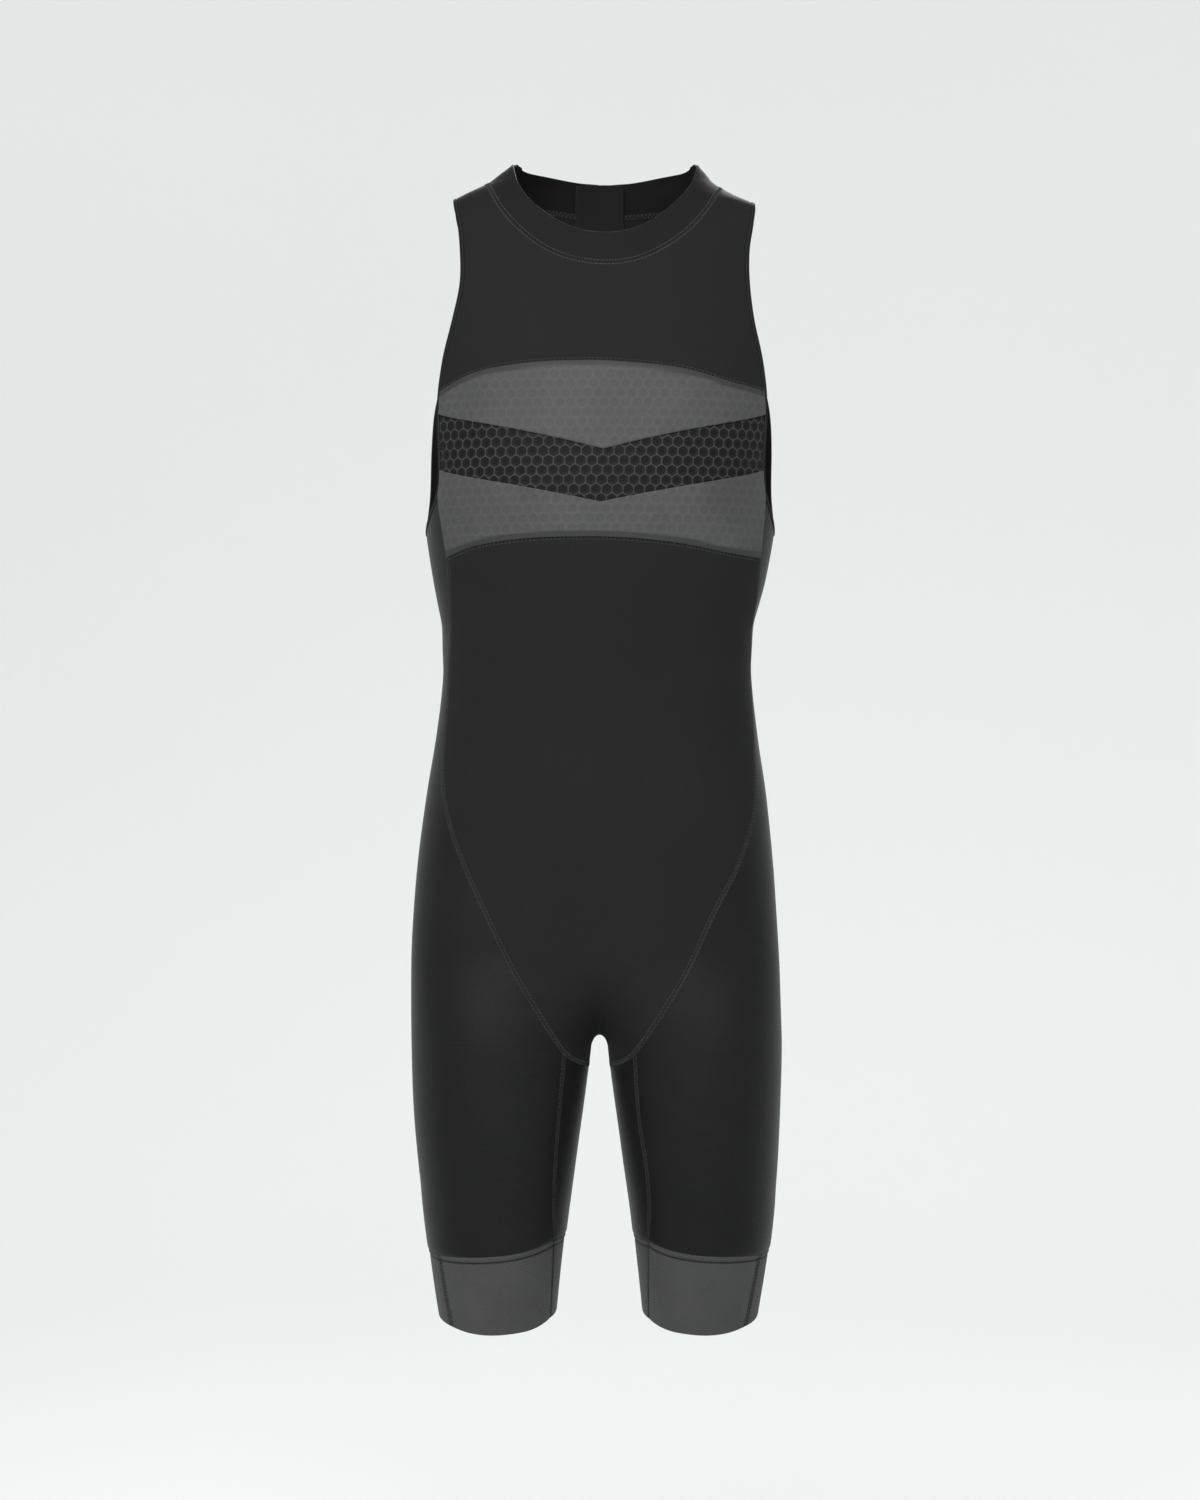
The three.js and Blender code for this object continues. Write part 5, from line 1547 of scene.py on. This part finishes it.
neck_line = joined(*neck)
sew("neck", [(neck_line, NEEDLE_REACH, 0.05)])
sew("chest", [
    (joined(chest_top[-1], chest_top[1][::-1]), 2.0, 0.1),
    (joined(chest_low[-1], chest_low[1][::-1]), 2.0, 0.05),
], THREAD, THREAD)
inside = [(line, 1.9, -COLLAR_WALL) for line in (neck[0], neck[3])]
sew("neck_inside", inside, THREAD, PALE_THREAD, face=-1)
for side, word in words.items():
    seams = SEAMS[side]
    front_line = joined(seams["chest_side"], seams["front_waist"], seams["front_hip"], seams["crotch_side"])
    crotch = seams["crotch_back"][::-1]
    back_line = joined(seams["back_waist"], seams["back_hip"], seams["back_seat"], crotch)
    sewn = (front_line, back_line, seams["inner_front"], seams["inner_back"], shoulders[side])
    sew(f"side_{word}", [(line, NEEDLE_REACH, 0.0) for line in sewn], THREAD, THREAD)
    cuff_ring = joined(*seams["cuff_top"])
    edge_row = copies(STITCH, *along_line(seams["band"], STITCH_PITCH, 0.9 * side, 0.5), 0.3)
    gather(f"armhole_thread_{word}", [edge_row], THREAD)
    outer_seam = straight_seam(seams["cuff_top"][0][-1], seams["hem"][0][-1], 3)
    inner_seam = straight_seam(seams["cuff_top"][0][0], seams["hem"][0][0], 3)
    places = along_line(outer_seam, COVER_PITCH, COVER_SHIFT, CUFF_MARGIN)
    upright = [copies(COVER_STITCH, *places, -CUFF_INSET + 0.12, 1.05)]
    for line, shift in ((outer_seam, -2.2), (outer_seam, 2.2), (inner_seam, -0.7), (inner_seam, 0.7)):
        places = along_line(line, STITCH_PITCH, shift, CUFF_MARGIN)
        upright.append(copies(STITCH, *places, -CUFF_INSET + 0.1))
    gather(f"cuff_seam_thread_{word}", upright, DARK_THREAD)
    ring = []
    for down in (1.6, 3.4):
        places = along_line(onto_form(cuff_ring + np.array([0, 0, -down])), SHORT_PITCH, 0, 1.0)
        ring.append(copies(SHORT_STITCH, *places, -CUFF_INSET + 0.36))
    gather(f"cuff_ring_thread_{word}", ring, THREAD)
sew("centre_back", [(line, NEEDLE_REACH, 0.0) for line in zip_line[3:5]], THREAD, THREAD)
beside_zip = []
for side in (-1, 1):
    slot_line = joined(slots[side][0], slots[side][1])
    for away in (1.6, 4.6):
        beside_zip.append(copies(STITCH, *along_line(slot_line, STITCH_PITCH, -side * away, 3.0), 0.04))
gather("zip_topstitch_thread", beside_zip, THREAD)


# ---- zip coil, slider and pull tab
def tooth_shape():
    """One turn of the coil: a rounded bar with a flattened head."""
    piece = rod(8, 0.48, 1.4)
    choose(piece, lambda middle, normal: normal.x > 0.9, "face")
    push((0.35, 0, 0), (1, 1.15, 1.2))
    push((0.3, 0, 0), (1, 0.7, 0.7))
    choose(piece, lambda middle, normal: normal.x < -0.9, "face")
    push((-0.35, 0, -0.15), (1, 0.8, 0.8))
    push((-0.15, 0, -0.45), (1, 0.6, 0.6))
    finish_shape(piece, 50)
    return taken(piece)


TOOTH = tooth_shape()
TOOTH_PITCH = 1.45
COIL_HEIGHT = -1.25
chain_line = joined(zip_line[0][FINE:], zip_line[1])
chain_points, chain_tangent, chain_normal = along_line(chain_line, TOOTH_PITCH / 2, 0, 1.0)
coil = []
for side in (-1, 1):
    chosen = slice(0, None, 2) if side < 0 else slice(1, None, 2)
    points, tangent, normal = chain_points[chosen], chain_tangent[chosen], chain_normal[chosen]
    inward = np.cross(normal, tangent)
    inward *= -side * np.sign(inward[:, :1])
    coil.append(copies(TOOTH, points - inward * 1.1, inward, normal, COIL_HEIGHT))
coil_piece = gather("zip_coil_teeth", coil, COIL, sharp=50)
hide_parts("zip_chain")

zip_upper, zip_lower = zip_line[0][0], zip_line[0][FINE]
SLIDER_LENGTH = 11
SLIDER_WIDTH = 9
SLIDER_HEIGHT = 3.2
PIVOT_HEIGHT = 1.4
ZIP_SEAM_GAP = 0.3
SLIDER_GROUND = -2.2
slider_along = unit(zip_lower - zip_upper)
slider_out = unit(np.cross([1.0, 0, 0], slider_along))
slider_out *= np.sign(slider_out[1])
slider_across = np.cross(slider_along, slider_out)
slider_seat = zip_lower - slider_along * (ZIP_SEAM_GAP + SLIDER_LENGTH / 2)
slider_seat += slider_out * (SLIDER_GROUND + ZIP_SEAM_GAP)


def slider_frame(height):
    """From a piece's own millimetres, x across, y down the zip and z out of the back, to its place."""
    origin = slider_seat + slider_out * height
    columns = [slider_across, slider_along, slider_out, origin]
    rows = [[column[k] * MM for column in columns] for k in range(3)]
    return Matrix(rows + [[0, 0, 0, 1]])


def put(piece, matrix, name, finish, body):
    start_fresh()
    piece.data.transform(matrix)
    if matrix.determinant() < 0:
        piece.data.flip_normals()
    piece.name = name
    piece.data.materials.clear()
    piece.data.materials.append(finish)
    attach(piece, body)
    return piece


def slider_plate(height, thick):
    """A boat-shaped plate with rolled-in sides, wide above and narrow below."""
    piece = block((SLIDER_WIDTH, SLIDER_LENGTH, thick), (0, 0, height))
    edit_all()
    bpy.ops.mesh.subdivide(number_cuts=3)
    shoulder, tip = SLIDER_LENGTH * 0.2, SLIDER_LENGTH * 0.45
    squeeze(piece, 0.82, lambda co: co.y > shoulder)
    squeeze(piece, 0.86, lambda co: co.y > tip)
    squeeze(piece, 0.72, lambda co: co.y < -tip)
    choose(piece, lambda co: abs(co.x) < 0.1 and co.y < -tip)
    bpy.ops.transform.translate(value=(0, 1.3, 0))
    bevel(piece, 0.32, 40)
    finish_shape(piece, 35)
    return piece


def merged(pieces):
    start_fresh()
    for piece in pieces:
        piece.select_set(True)
    bpy.context.view_layer.objects.active = pieces[0]
    bpy.ops.object.join()
    return pieces[0]


def slider_bridge():
    """The loop that holds the pull tab: a half ring with flattened feet."""
    start_fresh()
    bpy.ops.mesh.primitive_torus_add(
        major_radius=2.25, minor_radius=0.62, major_segments=28, minor_segments=10,
        rotation=(0, math.pi / 2, 0),
    )
    piece = fixed()
    edit_all()
    bpy.ops.mesh.bisect(plane_co=(0, 0, -0.9), plane_no=(0, 0, 1), clear_inner=True, use_fill=True)
    bpy.ops.mesh.select_all(action="SELECT")
    bpy.ops.transform.resize(value=(1.7, 1, 1.45))
    bpy.ops.transform.translate(value=(0, 0, SLIDER_HEIGHT + 0.75))
    finish_shape(piece, 50)
    return piece


def slider_post():
    """The wedge that parts the two rows of teeth and joins the slider's plates."""
    piece = block((2.6, 4.0, SLIDER_HEIGHT - 0.8), (0, -2.2, SLIDER_HEIGHT / 2))
    squeeze(piece, 0.2, lambda co: co.y > -1)
    bevel(piece, 0.25, 30)
    finish_shape(piece, 40)
    return piece


slider = merged([
    slider_plate(SLIDER_HEIGHT - 0.5, 1.0),
    slider_plate(0.4, 0.8),
    slider_post(),
    slider_bridge(),
])
put(slider, slider_frame(0), "zip_slider_metal", METAL, BODY)
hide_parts("zip_slider")

TAB_LENGTH = 23
TAB_WIDTH = 7.6
TAB_WALL = 1.4


def pull_tab():
    """A long plate with a window for the slider's loop, a waist, a dished grip and rounded corners."""
    start_fresh()
    bpy.ops.mesh.primitive_grid_add(x_subdivisions=4, y_subdivisions=6, size=1, location=(0, 0, 0))
    piece = bpy.context.object
    xs = [-TAB_WIDTH / 2, -2.2, 0, 2.2, TAB_WIDTH / 2]
    ys = [-TAB_WALL / 2, TAB_WALL / 2, 5.3, 7.6, 13.5, 19.5, TAB_LENGTH]
    for vertex in piece.data.vertices:
        column = round((vertex.co.x + 0.5) * 4)
        row = round((vertex.co.y + 0.5) * 6)
        vertex.co = (xs[column], ys[row], 0)
    choose(piece, lambda middle, normal: abs(middle.x) < 2.2 and 0.7 < middle.y < 5.3, "face")
    bpy.ops.mesh.delete(type="FACE")
    squeeze(piece, 0.8, lambda co: abs(co.x) > 3 and 7 < co.y < 8)
    choose(piece, lambda co: abs(co.x) > 3 and co.y > 22)
    bpy.ops.mesh.bevel(offset=2.2, segments=4, affect="VERTICES")
    bpy.ops.object.mode_set(mode="OBJECT")
    apply_modifier(piece, "SOLIDIFY", thickness=TAB_WALL, offset=0)
    choose(piece, lambda middle, normal: abs(normal.z) > 0.9 and middle.y > 8, "face")
    bpy.ops.mesh.inset(thickness=0.9, depth=-0.28, use_individual=False)
    bevel(piece, 0.22, 35)
    finish_shape(piece, 35)
    return piece


tab_place = slider_frame(SLIDER_HEIGHT + PIVOT_HEIGHT)
tab = put(pull_tab(), tab_place, "zip_pull_tab_metal", METAL, TAB_BODY)
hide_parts("zip_pull_tab")


# ---- studio
FLOOR_HEIGHT = -1.6
WALL_RADIUS = 7.0
CURVE_RADIUS = 3.0
WALL_TOP = 7.0
ROUND_STEPS = 96
PAPER_GLOW = (0.95, 0.98, 0.972, 1)
GLOW_STRENGTH = 0.5


def studio_bowl():
    """A pale seamless surround: a round floor that curves up into a wall on every side."""
    profile = [(0.02, FLOOR_HEIGHT), (2.0, FLOOR_HEIGHT)]
    for step in range(17):
        angle = math.pi / 2 * step / 16
        out = WALL_RADIUS - CURVE_RADIUS + CURVE_RADIUS * math.sin(angle)
        profile.append((out, FLOOR_HEIGHT + CURVE_RADIUS - CURVE_RADIUS * math.cos(angle)))
    profile.append((WALL_RADIUS, WALL_TOP))
    turns = np.linspace(0, 2 * math.pi, ROUND_STEPS, endpoint=False)
    points = [(r * math.cos(turn), r * math.sin(turn), z) for r, z in profile for turn in turns]
    faces = []
    for level in range(len(profile) - 1):
        for step in range(ROUND_STEPS):
            across = (step + 1) % ROUND_STEPS
            low, high = level * ROUND_STEPS, (level + 1) * ROUND_STEPS
            faces.append((low + step, low + across, high + across, high + step))
    mesh = bpy.data.meshes.new("studio_bowl")
    mesh.from_pydata(points, [], faces)
    mesh.polygons.foreach_set("use_smooth", np.ones(len(faces), bool))
    bowl = bpy.data.objects.new("studio_bowl", mesh)
    bpy.context.scene.collection.objects.link(bowl)
    paper = Finish(
        "studio_paper", Roughness=0.95, Specular_IOR_Level=0.1,
        Emission_Color=PAPER_GLOW, Emission_Strength=GLOW_STRENGTH,
    )
    cloud = paper.noise(1.5, 2.0)
    paper.set("Base Color", paper.blend(cloud, (0.46, 0.475, 0.47), (0.47, 0.485, 0.48)))
    mesh.materials.append(paper.material)


# Columns name, place, what it points at, size, power, spread in degrees.
STUDIO_LIGHTS = [
    ("key_light", (-0.4, -3.4, 1.6), (0, 0, -0.3), (2.2, 1.6), 34, 52),
    ("rear_light", (0.6, 3.4, 1.6), (0, 0, -0.3), (2.2, 1.6), 30, 52),
    ("left_strip_light", (-2.3, -2.2, 0.0), (0, 0, -0.55), (0.3, 2.2), 5, 180),
    ("right_strip_light", (2.3, -2.2, 0.0), (0, 0, -0.55), (0.3, 2.2), 5, 180),
    ("left_back_light", (-2.6, 1.0, 0.4), (0, 0, -0.45), (1.2, 2.4), 4, 180),
    ("right_back_light", (2.6, 1.0, 0.4), (0, 0, -0.45), (1.2, 2.4), 4, 180),
]


def soft_light(name, place, aim, size, power, spread):
    data = bpy.data.lights.new(name, "AREA")
    data.shape = "RECTANGLE"
    data.size, data.size_y = size
    data.energy = power
    data.spread = math.radians(spread)
    light = bpy.data.objects.new(name, data)
    light.location = place
    light.rotation_euler = (Vector(aim) - Vector(place)).to_track_quat("-Z", "Y").to_euler()
    light.visible_camera = False
    bpy.context.scene.collection.objects.link(light)


studio_bowl()
for light in STUDIO_LIGHTS:
    soft_light(*light)
world = bpy.data.worlds.new("studio_air")
world.use_nodes = True
air = world.node_tree.nodes["Background"].inputs
air["Color"].default_value = (1.0, 0.985, 0.985, 1)
air["Strength"].default_value = 0.15
bpy.context.scene.world = world
bpy.context.scene.view_settings.view_transform = "Standard"
